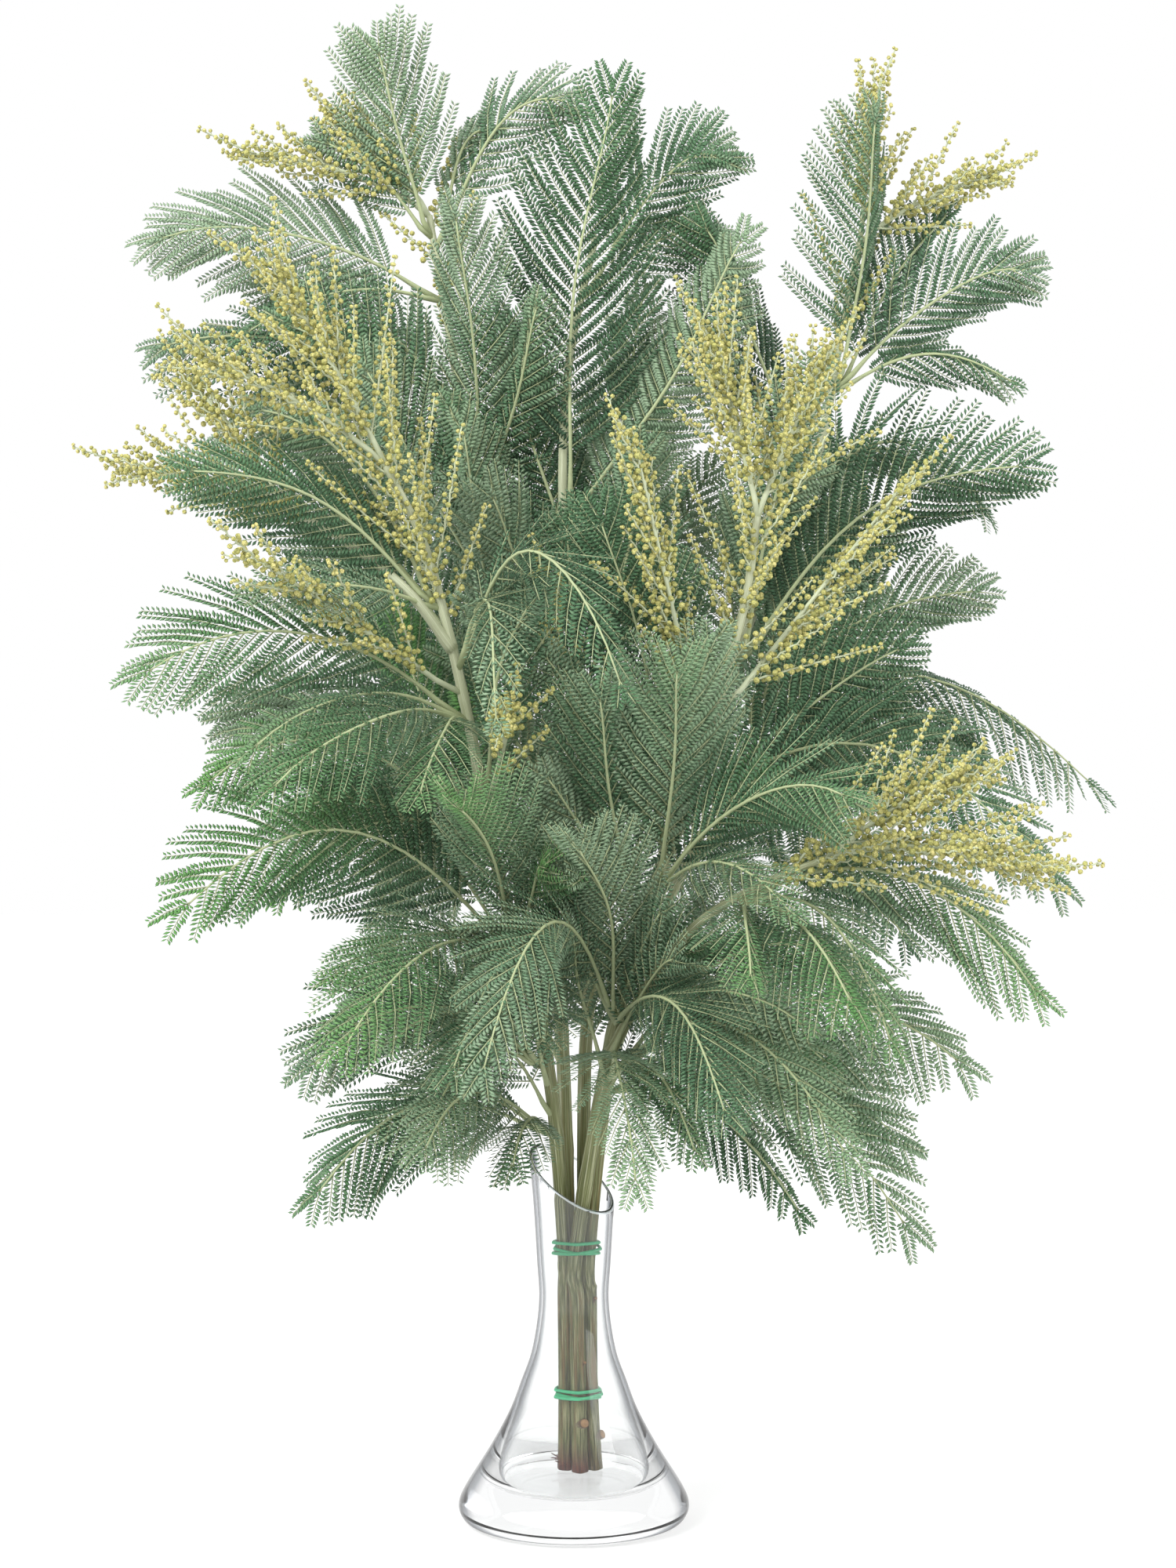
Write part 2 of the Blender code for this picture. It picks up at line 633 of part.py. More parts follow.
def main():
    clear_scene()
    scene = bpy.context.scene.collection
    parts = bpy.data.collections.new("mimosa bunch")
    cutters = bpy.data.collections.new("cutters")
    scene.children.link(parts)
    scene.children.link(cutters)
    glass = material("clear glass", (0.93, 0.96, 0.96), 0.03, 0.35)
    bark = material("young bark", (0.33, 0.36, 0.20), 0.6)
    rubber = material("green rubber", (0.08, 0.42, 0.25), 0.45)
    green = material("frond green", (0.10, 0.21, 0.12), 0.6)
    bud = material("bud green yellow", (0.42, 0.38, 0.12), 0.65)

    stems = lay_out_stems()
    build_vase(parts, cutters, glass)
    build_stems(stems, parts, bark)
    build_band("band_lower", 1, 1.8, parts, rubber)
    build_band("band_upper", 3, 2.8, parts, rubber)
    bpy.context.view_layer.update()
    room = Room()
    for obj in list(parts.objects):
        room.add(obj)
    build_sprays(stems, room, parts, bud)
    build_fronds(stems, room, parts, green)


main()
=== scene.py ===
"""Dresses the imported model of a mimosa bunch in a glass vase.

The branches, fronds and sprays follow the same tables as the solid model. Each frond gets its
pinnae and leaflets, each spray its zigzag stalks and flower buds, the stems their ridged bark,
and the vase its smooth wall with a fire-polished, slanting mouth. Tables are in millimetres, with
X to the right and Y away from the viewer of the photograph.
"""

import math
import random

import bmesh
import bpy
import numpy as np
from bpy.props import FloatProperty, FloatVectorProperty, IntProperty, PointerProperty
from mathutils import Matrix, Quaternion, Vector


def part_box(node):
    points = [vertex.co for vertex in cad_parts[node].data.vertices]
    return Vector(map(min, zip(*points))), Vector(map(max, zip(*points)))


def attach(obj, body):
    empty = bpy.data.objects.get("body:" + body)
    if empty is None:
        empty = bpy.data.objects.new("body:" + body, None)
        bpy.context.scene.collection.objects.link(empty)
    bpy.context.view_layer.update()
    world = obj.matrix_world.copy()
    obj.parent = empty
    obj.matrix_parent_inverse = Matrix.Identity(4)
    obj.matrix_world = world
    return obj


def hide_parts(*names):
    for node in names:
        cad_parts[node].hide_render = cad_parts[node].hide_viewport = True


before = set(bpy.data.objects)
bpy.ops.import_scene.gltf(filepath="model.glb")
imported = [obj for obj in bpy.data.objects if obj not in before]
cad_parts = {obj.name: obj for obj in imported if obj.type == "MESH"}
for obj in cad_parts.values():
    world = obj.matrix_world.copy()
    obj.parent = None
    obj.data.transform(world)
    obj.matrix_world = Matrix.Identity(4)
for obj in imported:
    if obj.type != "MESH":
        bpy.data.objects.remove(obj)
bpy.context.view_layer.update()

bl_info = {
    "name": "Mimosa Bunch",
    "version": (1, 0, 0),
    "blender": (4, 5, 0),
    "location": "View3D > Sidebar > Mimosa",
    "description": "A bunch of mimosa branches in bud, tied and standing in a clear glass vase",
    "category": "Add Mesh",
}

BLACK = (0, 0, 0, 1)
WHITE = (1, 1, 1, 1)
MM = 0.001
UP = Vector((0, 0, 1))
# Between pieces that touch, and from the vase down to the paper, in mm
GAP = 0.3
FLOOR_DROP = 0.2

# The vase: radius and height in mm, down the outside and up the inside
FLOOR_HEIGHT = 14
RIM_HEIGHT = 154
RIM_SLOPE = (-0.585, 0.43)
VASE_OUTSIDE = ((21.5, 176), (18.6, 146), (16.8, 118), (15.9, 99), (18.9, 78), (24.1, 63), (29.1, 50),
                (37.7, 34), (49.0, 16), (52.3, 8), (50.5, 2.5), (46.0, 0))
VASE_INSIDE = ((30.0, 14), (35.5, 17), (35.0, 27), (26.6, 50), (22.0, 63), (17.0, 78),
               (14.1, 99), (15.1, 118), (16.9, 146), (19.8, 176))
# The hollow of its underside, and how far its floor dips below FLOOR_HEIGHT towards the middle
VASE_UNDERSIDE = ((44.5, 0.0), (40, 0.5), (0, 0.9))
FLOOR_DIP = ((0, -0.6), (12, -0.5), (24, -0.2))
# A face counts as level glass where its normal is more upright than this
LEVEL_GLASS = 0.8

# The bunch in the neck: five stems in a ring, whose centre leans from one height to the next
STEM_RADIUS = 3.3
FIRST_STEM_AT = math.radians(198)
STEM_TO_STEM = math.radians(72)
RING_RADIUS = 5.9
FOOT_SPREAD = 1.5
NECK_HEIGHTS = (14.8, 56, 100, 124)
NECK_AXIS = ((3, 13), (2, 8), (1.5, 2), (1.2, -0.5))
STEM_POINTS = 14
TWIG_POINTS = 9
# How much thicker the ridged stems are than the solid ones
STEM_SWELL = 1.12
# Rubber bands: node, place in NECK_HEIGHTS and half of the height that its turns spread over
BANDS = (("band_lower", 1, 1.8), ("band_upper", 3, 2.8))
BAND_WINDINGS = 3
BAND_STEPS = 60
# How far the outer turns lie on the inner ones
BAND_LIFT = 0.45


# Where each stem passes above the neck, in mm
STEM_PATHS = {
    "left": ((-10, -12, 195), (-20, -30, 245), (-35, -48, 305), (-45, -60, 360),
             (-55, -68, 405), (-65, -72, 440), (-80, -78, 470)),
    "front": ((15, -20, 210), (30, -38, 270), (50, -50, 325), (65, -56, 375),
              (75, -58, 415), (80, -58, 450)),
    "right": ((17, 8, 210), (35, 28, 280), (60, 42, 350), (90, 50, 430),
              (115, 54, 490), (125, 56, 540), (135, 56, 590)),
    "centre": ((5, 20, 205), (10, 32, 280), (5, 28, 350), (0, 12, 415),
               (-5, 6, 465), (-2, 20, 530), (10, 38, 590)),
    "top_left": ((-5, 10, 210), (-10, 20, 280), (-20, 28, 350), (-35, 34, 430),
                 (-50, 38, 495), (-60, 40, 555), (-68, 40, 600)),
}
# Side branches: the stem that each grows from, and where it passes
TWIG_PATHS = {
    "low": ("front", ((16, -22, 214), (34, -45, 248), (55, -66, 275), (84, -84, 293), (108, -92, 303))),
    "far_left": ("left", ((-52, -66, 392), (-72, -74, 418), (-98, -76, 438), (-122, -72, 452))),
    "back_left": ("top_left", ((-8, 15, 245), (-27, 60, 295), (-56, 108, 350), (-84, 145, 405))),
    "back_right": ("right", ((24, 16, 236), (48, 60, 285), (78, 112, 340), (108, 150, 400))),
    "back_middle": ("centre", ((9, 30, 272), (12, 78, 330), (16, 126, 390), (20, 158, 450))),
}
# Stubs of cut side shoots: stem, height, direction, then reach and radius
STUBS = (
    ("front", 41, (0.5, -1, 0.35), (6.0, 2.4)),
    ("right", 33, (1, -0.5, 0.45), (5.5, 2.3)),
    ("front", 68, (0.9, -0.8, 1.1), (5.5, 0.9)),
    ("right", 96, (0.7, -0.9, 1.3), (7.0, 0.9)),
)
# The stem that was torn off and its fibres, and the stems whose foot has dried right through
FRAYED_STEM = "left"
FIBRES = 22
DRIED_FEET = ("left", "front")
# Fronds by node: the stem, the height of their root, and for each frond its tip, the length of
# its longest pinna, how far it arches up and how far its face turns from up to outward
FRONDS = {
    "frond_crown": ("centre", 452, [
        ((8, 2, 650), 48, 0, 88)]),
    "frond_left_low": ("left", 362, [
        ((-174, -115, 385), 44, 26, 62),
        ((-112, -162, 334), 40, 16, 60)]),
    "frond_left_fan": ("left", 258, [
        ((-158, -112, 300), 46, 34, 64),
        ((-88, -162, 238), 40, 20, 60),
        ((-42, -140, 330), 36, 8, 80)]),
    "frond_left_bright": ("left", 304, [
        ((-158, -60, 335), 40, 34, 62),
        ((-85, -22, 405), 38, 4, 84)]),
    "frond_left_hook": ("left", 384, [
        ((15, -150, 378), 28, 52, 45)]),
    "frond_left_high": ("left", 410, [
        ((-158, -40, 478), 38, 18, 70),
        ((-165, -125, 445), 38, 10, 66)]),
    "frond_left_foot": ("left", 208, [
        ((-108, -88, 218), 40, 26, 62),
        ((-100, -25, 228), 36, 26, 62),
        ((-50, -145, 222), 36, 24, 60)]),
    "frond_rim_left": ("left", 176, [
        ((-112, -62, 172), 40, 22, 62),
        ((-62, -118, 184), 36, 18, 62)]),
    "frond_face_left": ("front", 305, [
        ((12, -86, 450), 42, 4, 86)]),
    "frond_face_low": ("front", 272, [
        ((8, -86, 372), 38, 4, 85)]),
    "frond_face_right": ("front", 288, [
        ((46, -112, 384), 40, 4, 84),
        ((108, -152, 326), 38, 22, 70)]),
    "frond_nose": ("front", 228, [
        ((-34, -160, 240), 38, 50, 60),
        ((62, -165, 224), 38, 24, 60),
        ((10, -104, 318), 36, 6, 80)]),
    "frond_chest": ("front", 250, [
        ((-34, -104, 308), 36, 10, 76)]),
    "frond_right_low": ("front", 203, [
        ((165, -64, 216), 44, 34, 64),
        ((108, -140, 194), 38, 36, 60),
        ((22, -142, 176), 35, 28, 62)]),
    "frond_rim_right": ("right", 194, [
        ((145, -45, 152), 46, 32, 66),
        ((150, 20, 178), 40, 26, 66)]),
    "frond_east_low": ("low", 286, [
        ((192, -112, 264), 44, 30, 66),
        ((108, -168, 240), 38, 12, 62)]),
    "frond_east": ("right", 322, [
        ((212, -30, 302), 46, 40, 68),
        ((150, 20, 395), 38, 8, 78)]),
    "frond_east_high": ("right", 352, [
        ((232, -8, 352), 46, 38, 68),
        ((165, -24, 432), 38, 12, 76)]),
    "frond_east_up": ("right", 392, [
        ((224, 12, 455), 42, 16, 76),
        ((150, 8, 508), 36, 4, 80)]),
    "frond_right_tip": ("right", 520, [
        ((140, 40, 648), 38, 2, 82),
        ((208, 30, 578), 34, 16, 68)]),
    "frond_right_curl": ("right", 478, [
        ((58, 22, 592), 38, 14, 80)]),
    "frond_right_droop": ("right", 470, [
        ((168, -12, 466), 34, 26, 66)]),
    "frond_centre": ("centre", 425, [
        ((-32, -12, 542), 38, 6, 85),
        ((44, 6, 562), 38, 4, 85)]),
    "frond_heart": ("centre", 372, [
        ((-40, -34, 462), 36, 4, 84),
        ((36, -30, 482), 36, 4, 84)]),
    "frond_core": ("centre", 296, [
        ((-48, -34, 384), 38, 8, 80),
        ((66, -8, 384), 36, 8, 80)]),
    "frond_top_right": ("centre", 560, [
        ((68, 40, 632), 34, 18, 74)]),
    "frond_top_arch": ("top_left", 585, [
        ((-8, 24, 652), 30, 20, 60)]),
    "frond_top_left": ("top_left", 590, [
        ((-98, 26, 668), 38, 6, 78)]),
    "frond_north_west": ("top_left", 560, [
        ((-188, 12, 588), 46, 16, 68)]),
    "frond_west": ("top_left", 515, [
        ((-186, 20, 538), 42, 14, 70),
        ((-168, 66, 500), 38, 20, 66)]),
    "frond_shoulder": ("top_left", 462, [
        ((-112, 0, 560), 38, 6, 82),
        ((-34, 0, 596), 38, 4, 86)]),
    "frond_upright_left": ("top_left", 415, [
        ((-88, 20, 535), 38, 4, 85)]),
    "frond_inner_left": ("top_left", 360, [
        ((-118, 60, 462), 38, 10, 80),
        ((-38, 8, 500), 36, 4, 85)]),
    "frond_back_west": ("back_left", 312, [
        ((-165, 95, 372), 42, 24, 66),
        ((-140, 150, 300), 38, 30, 66),
        ((-95, 150, 235), 38, 30, 70)]),
    "frond_back_top": ("back_left", 372, [
        ((-110, 175, 500), 40, 8, 80),
        ((-40, 150, 470), 38, 8, 80)]),
    "frond_back_east": ("back_right", 300, [
        ((188, 100, 350), 42, 26, 66),
        ((150, 150, 268), 38, 30, 66),
        ((90, 120, 212), 38, 30, 70)]),
    "frond_back_crown": ("back_right", 362, [
        ((140, 170, 498), 40, 8, 80),
        ((72, 140, 468), 38, 8, 80)]),
    "frond_back_middle": ("back_middle", 345, [
        ((-14, 192, 322), 42, 36, 66),
        ((62, 192, 352), 38, 30, 66)]),
    "frond_back_high": ("back_middle", 392, [
        ((30, 112, 545), 42, 4, 85)]),
}
# Small fronds in leaf axils, by the node that they belong to: stem, height of the root, tip, longest
# pinna, arch and facing
AXIL_FRONDS = {
    "frond_nose": [
        ("front", 206, (-4, -74, 268), 27, 8, 78),
        ("front", 214, (44, -82, 262), 27, 8, 74)],
    "frond_left_foot": [
        ("left", 200, (-34, -72, 272), 27, 8, 76),
        ("left", 216, (-10, -92, 226), 26, 16, 66)],
    "frond_rim_right": [
        ("right", 206, (48, -34, 262), 28, 8, 78),
        ("right", 190, (34, -62, 204), 26, 14, 66)],
    "frond_rim_left": [
        ("left", 186, (-48, -52, 222), 26, 12, 70)],
    "frond_core": [
        ("centre", 240, (-18, -26, 316), 30, 6, 82),
        ("centre", 262, (40, -14, 330), 30, 6, 82)],
    "frond_chest": [
        ("front", 262, (6, -92, 300), 28, 8, 76)],
    "frond_back_west": [
        ("top_left", 205, (-36, 62, 262), 30, 10, 76)],
    "frond_back_east": [
        ("right", 215, (62, 66, 262), 30, 10, 76)],
    "frond_back_middle": [
        ("centre", 205, (8, 84, 262), 30, 10, 76)],
    "frond_heart": [
        ("front", 300, (58, -86, 392), 32, 6, 82)],
    "frond_face_left": [
        ("left", 330, (-24, -96, 410), 32, 8, 80)],
}
# Sprays by node: the stem, the height of their root (0 for the stem's end), and for each axis its
# tip, how far it arches up, its racemes and the longest of them
SPRAYS = {
    "spray_left_top": ("left", 0, [
        ((-125, -92, 548), 4, 5, 66),
        ((-152, -98, 512), 4, 4, 58)]),
    "spray_far_left": ("far_left", 0, [
        ((-190, -62, 470), 4, 4, 54),
        ((-168, -50, 510), 4, 4, 50)]),
    "spray_left_side": ("left", 374, [
        ((-132, -138, 428), 6, 4, 48)]),
    "spray_front_top": ("front", 0, [
        ((62, -62, 524), 0, 5, 62),
        ((108, -50, 518), 0, 4, 58)]),
    "spray_front_left": ("front", 355, [
        ((26, -88, 476), 0, 5, 60)]),
    "spray_front_right": ("front", 368, [
        ((142, -52, 462), 0, 4, 60)]),
    "spray_low_right": ("low", 0, [
        ((188, -112, 300), 6, 5, 64),
        ((160, -100, 336), 4, 4, 54)]),
    "spray_chest": ("left", 325, [
        ((-22, -108, 352), 22, 3, 36)]),
    "spray_middle": ("centre", 345, [
        ((-12, -34, 425), 0, 3, 44)]),
    "spray_top_left": ("top_left", 0, [
        ((-150, 22, 625), 6, 4, 50),
        ((-112, 40, 645), 4, 4, 42)]),
    "spray_top_right": ("right", 0, [
        ((140, 40, 655), 0, 4, 46),
        ((196, 46, 620), 4, 4, 44)]),
    "spray_back_left": ("back_left", 0, [
        ((-120, 185, 470), 0, 3, 48)]),
    "spray_back_right": ("back_right", 0, [
        ((140, 185, 465), 0, 3, 48)]),
}
# Radius of a bud's swollen foot, for one frond and for several, and how deep its rib starts in it
KNOB_SINGLE = 1.5
KNOB_SHARED = 2.0
ROOT_SINK = 0.8
# Upright lines, as x and y, that fronds turn their faces away from, and the depth that divides them
FACING_FRONT = (0, 260)
FACING_BACK = (0, -140)
MIDDLE_DEPTH = 70
# The solid frond: pinnae on each side, the length from which they are broad, their droop as a share
# of their length, half the rib's width, and the shares of the rib where the blade starts and ends
PAIRS = 5
BROAD_PINNA = 46
PINNA_DROOP = 0.3
RIB_HALF_WIDTH = 0.9
PETIOLE = 0.16
BLADE_END = 0.97
# The turns that the solid fronds and sprays were tried at to clear each other, in degrees
BEND_STEPS = (0, 5, 10, 15, 20, 26, 32, 40)
BEND_WAYS = 8
ROLL_STEPS = (0, 12, -12, 25, -25, 40, -40, 60, -60)
# How a live frond departs from the solid: shares of its length, then slopes and degrees
SWAY = 0.06
TIP_HANG = 0.06
FOLD = (0.05, 0.7)
DROOP = (0.05, 0.3)
CURL = (0.08, 0.4)
SWEEP = (-6, 14)
# The younger frond beside each one: its swing in degrees and its shares of length and pinna
YOUNG_SWING = (16, 30)
YOUNG_SHARE = (0.6, 0.8)
YOUNG_PINNA = 0.72
# Leaflets, pinna stalks and bud stalks, in metres
LEAFLET_WIDTH = 0.00175
LEAFLET_THICKNESS = 0.0004
LEAFLET_SEAT = 0.0002
PINNA_STALK = (0.00075, 0.0005)
BUD_STALK = 0.0006
# Soft lights: name, place and size in metres, and watts, all aimed at one point of the bunch
LIGHTS = (("key", (-1.5, -1.6, 1.9), (1.2, 1.2), 70), ("fill", (1.7, -1.3, 1.0), (1.2, 1.6), 18))
LIT_POINT = Vector((0, 0, 0.36))
# Radians round a stalk from one shoot to the next: the golden angle, as plants have it
SPIRAL = 2.4
# Centimetres of a tube that one unit of its UV map covers
UV_REACH = 6.0
# Fine racemes for each one of the solid spray, and buds at each of their bends
RACEMES_EACH = 5
BUDS_EACH = 2
# How much new growth the tips of a node's fronds show, and the range for all other nodes
FRESH = {"frond_left_bright": 0.9, "frond_left_fan": 0.75, "frond_left_low": 0.45,
         "frond_east_low": 0.6, "frond_right_low": 0.25, "frond_rim_right": 0.2,
         "frond_rim_left": 0.2, "frond_face_right": 0.3}
LITTLE_FRESH = (0, 0.15)
# Points along a stem, then by stem the racemes below its spray and how many of these points they
# take up, and the same for all other stems
STEM_STATIONS = 60
STEM_RACEMES = {"left": (14, 12), "front": (12, 12), "low": (6, 18)}
FEW_RACEMES = (4, 8)


def linear(code):
    """An sRGB hex colour as linear red, green, blue and alpha."""
    parts = [int(code[i:i + 2], 16) / 255 for i in (1, 3, 5)]
    return tuple(p / 12.92 if p <= 0.04045 else ((p + 0.055) / 1.055) ** 2.4 for p in parts) + (1.0,)


def colour(name, description, code):
    return FloatVectorProperty(name=name, description=description, subtype="COLOR", size=4,
                               min=0, max=1, default=linear(code))


def length(name, description, metres):
    return FloatProperty(name=name, description=description, subtype="DISTANCE", unit="LENGTH",
                         min=0.0001, default=metres, precision=4)


class VaseSettings(bpy.types.PropertyGroup):
    sides: IntProperty(name="Sides", description="Faces round the vase", default=112, min=24)
    tint: colour("Tint", "Colour of the glass where it is thick", "#FDFEFE")
    lip: length("Lip", "Rounding of the fire-polished mouth", 0.0006)


class BandSettings(bpy.types.PropertyGroup):
    thickness: length("Thickness", "Width of one turn of the rubber band", 0.0015)
    rubber: colour("Rubber", "Colour of the rubber bands", "#35AE78")


class StemSettings(bpy.types.PropertyGroup):
    ridge: FloatProperty(name="Ridges", description="Depth of the ridges, as a share of the radius",
                         default=0.10, min=0, max=0.4)
    olive: colour("Olive", "Bark between the ridges", "#7F8551")
    bloom: colour("Bloom", "Pale wax on young bark", "#C9CEB4")
    streak: colour("Streak", "Brown streaks of older bark", "#7D6238")


class FrondSettings(bpy.types.PropertyGroup):
    leaflet: length("Leaflet", "Length of a leaflet", 0.0042)
    leaflet_step: length("Leaflet spacing", "From one leaflet to the next", 0.0015)
    pinna_step: length("Pinna spacing", "From one pinna to the next along the rib", 0.0064)
    deep: colour("Deep", "Old leaflets seen from above", "#2A4530")
    upper: colour("Upper side", "Leaflets seen from above", "#4F7253")
    sage: colour("Sage", "Leaflets with the most bloom", "#8CA285")
    fresh: colour("Fresh", "New growth at the tips", "#5E9448")
    under: colour("Underside", "Leaflets seen from below", "#839C7D")
    rib: colour("Rib", "Rib and pinna stalks", "#B1BB90")


class SpraySettings(bpy.types.PropertyGroup):
    bud: length("Bud", "Diameter of a flower bud", 0.0028)
    bud_step: length("Bud spacing", "From one bend of a raceme to the next", 0.0027)
    bud_green: colour("Young bud", "Buds that are still green", "#BDBE70")
    bud_gold: colour("Ripe bud", "Buds about to open", "#DCD08C")
    stalk: colour("Stalk", "Flower stalks", "#CBD3B2")


class StageSettings(bpy.types.PropertyGroup):
    distance: length("Distance", "From the camera to the vase's axis", 1.3)
    height: length("Height", "Height of the camera", 0.334)
    aside: length("Aside", "How far the camera stands to the right", 0.0064)
    lens: FloatProperty(name="Lens", description="Focal length", unit="CAMERA", default=65.73)
    paper: colour("Paper", "Colour of the floor", "#A8A8A8")


def place(point):
    return Vector(point) * MM


def smooth_path(points, count):
    """Points evenly spread in parameter along a Catmull-Rom curve through the given ones."""
    points = [Vector(p) for p in points]
    ends = [points[0] * 2 - points[1], *points, points[-1] * 2 - points[-2]]
    path = []
    for step in range(count):
        along = step / (count - 1) * (len(points) - 1)
        k = min(int(along), len(points) - 2)
        t = along - k
        a, b, c, d = ends[k:k + 4]
        path.append(0.5 * (2 * b + (c - a) * t + (2 * a - 5 * b + 4 * c - d) * t * t
                           + (3 * b - a - 3 * c + d) * t ** 3))
    return path


class Stem:
    """Centreline and radii of a stem, as the solid has them."""

    def __init__(self, points, first_radius, last_radius, count):
        self.points = points
        self.path = smooth_path(points, count)
        self.first, self.last = first_radius, last_radius
        self.radii = [self.radius(i / (count - 1)) for i in range(count)]

    def radius(self, share):
        return self.first + (self.last - self.first) * share ** 1.3

    def at(self, height):
        if not height:
            return self.path[-1], (self.path[-1] - self.path[-2]).normalized(), self.radii[-1] * MM
        for a, b, radius in zip(self.path, self.path[1:], self.radii):
            if b.z >= height * MM:
                share = (height * MM - a.z) / (b.z - a.z)
                return a.lerp(b, max(share, 0)), (b - a).normalized(), radius * MM
        return self.path[-1], (self.path[-1] - self.path[-2]).normalized(), self.radii[-1] * MM


def neck_points(index):
    """Where one of the five stems passes in the neck, from its foot on the vase's floor up."""
    angle = FIRST_STEM_AT + STEM_TO_STEM * index
    points = []
    for height, (x, y) in zip(NECK_HEIGHTS, NECK_AXIS):
        ring = RING_RADIUS + (FOOT_SPREAD if height == NECK_HEIGHTS[0] else 0)
        points.append(place((x + ring * math.cos(angle), y + ring * math.sin(angle), height)))
    return points


def lay_out_stems():
    """All stems and side branches by name."""
    stems = {}
    for index, (name, points) in enumerate(STEM_PATHS.items()):
        stems[name] = Stem([*neck_points(index), *map(place, points)], STEM_RADIUS, 1.4, STEM_POINTS)
    for name, (parent, points) in TWIG_PATHS.items():
        start = stems[parent].at(points[0][2])[0]
        stems[name] = Stem([start, *map(place, points[1:])], 2.1, 1.2, TWIG_POINTS)
    return stems


STEMS = lay_out_stems()


class Rib:
    """The arched rib of a frond, or the axis of a spray, from its root to its tip. Its face is the
    way that the frond's upper side looks."""

    def __init__(self, root, tip, arch, face=60):
        self.root, self.tip = root, tip
        self.middle = (root + tip) / 2 + UP * arch * MM * 2
        line = FACING_BACK if self.middle.y > MIDDLE_DEPTH * MM else FACING_FRONT
        outward = (root + tip) / 2 - place((*line, 0))
        outward.z = 0
        outward.normalize()
        turned_out = math.radians(face)
        self.face = UP * math.cos(turned_out) + outward * math.sin(turned_out)

    def at(self, t):
        return self.root * (1 - t) ** 2 + self.middle * 2 * t * (1 - t) + self.tip * t * t

    def along(self, t):
        return ((self.middle - self.root) * (1 - t) + (self.tip - self.middle) * t).normalized()

    def frame(self, t):
        """Directions along the rib, to its side and up from the frond's face."""
        ahead = self.along(t)
        side = ahead.cross(self.face).normalized()
        return ahead, side, side.cross(ahead)


def pinna_length(share, longest):
    """Longest a third of the way up the blade, and short at its tip."""
    return longest * (0.95 + 0.75 * share - 1.3 * share * share)


def pinna_angle(share):
    """Between the rib and a pinna: wide near the root, and leaning forward towards the tip."""
    return math.radians(58 - 24 * share)


def root_on(stem, height, tips, radius):
    """Root of a piece on the side of the stem that its tips point to, and the way to its seat."""
    centre, ahead, thickness = stem.at(height)
    if not height:
        return centre + ahead * (GAP + radius) * MM, -ahead
    aim = sum(tips, Vector()) / len(tips) - centre
    out = (aim - ahead * aim.dot(ahead)).normalized()
    return centre + out * (thickness + (GAP + radius) * MM), -out


def turned(aim, angle, way, roll):
    """A bend away from the aim, to one of the ways round it, after a roll about it."""
    across = aim.cross(UP).normalized()
    axis = Quaternion(aim, 2 * math.pi * way / BEND_WAYS) @ across
    return Quaternion(axis, math.radians(angle)) @ Quaternion(aim, math.radians(roll))


def turn_of(node_name, root, aim, points):
    """The small turn about its root that the solid was given to clear its neighbours."""
    low, high = (np.array(corner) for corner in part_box(node_name))
    cloud = np.array([tuple(p - root) for p in points])
    best = None
    for angle in BEND_STEPS:
        for roll in ROLL_STEPS:
            for way in range(BEND_WAYS if angle else 1):
                turn = turned(aim, angle, way, roll)
                moved = cloud @ np.array(turn.to_matrix()).T + np.array(root)
                miss = np.abs(moved.min(0) - low).sum() + np.abs(moved.max(0) - high).sum()
                if best is None or miss < best[0]:
                    best = miss, turn
    return best[1]


def node(tree, kind, inputs=None, **settings):
    """Adds a shader node, sets it up and links what its inputs name."""
    made = tree.nodes.new(kind)
    for key, value in settings.items():
        setattr(made, key, value)
    for key, value in (inputs or {}).items():
        if isinstance(value, bpy.types.NodeSocket):
            tree.links.new(value, made.inputs[key])
        else:
            made.inputs[key].default_value = value
    return made


def start_material(name):
    """A new material, its node tree and its shader, which is linked to the output."""
    made = bpy.data.materials.new(name)
    made.use_nodes = True
    tree = made.node_tree
    tree.nodes.clear()
    shader = tree.nodes.new("ShaderNodeBsdfPrincipled")
    out = tree.nodes.new("ShaderNodeOutputMaterial")
    tree.links.new(shader.outputs["BSDF"], out.inputs["Surface"])
    return made, tree, shader


def ramp(tree, factor, stops):
    """A colour ramp's output, from pairs of a position and a colour."""
    made = node(tree, "ShaderNodeValToRGB", {"Fac": factor})
    elements = made.color_ramp.elements
    while len(elements) < len(stops):
        elements.new(0.5)
    for element, (position, value) in zip(elements, stops):
        element.position = position
        element.color = value
    return made.outputs["Color"]


def mixed(tree, factor, first, second):
    """The output of a mix of two colours or sockets."""
    made = node(tree, "ShaderNodeMix", data_type="RGBA")
    for key, value in ((0, factor), (6, first), (7, second)):
        if isinstance(value, bpy.types.NodeSocket):
            tree.links.new(value, made.inputs[key])
        else:
            made.inputs[key].default_value = value
    return made.outputs[2]


def shaded(tone, share):
    """A linear colour made darker, or lighter where share is above 1."""
    return tuple(c * share for c in tone[:3]) + (1,)


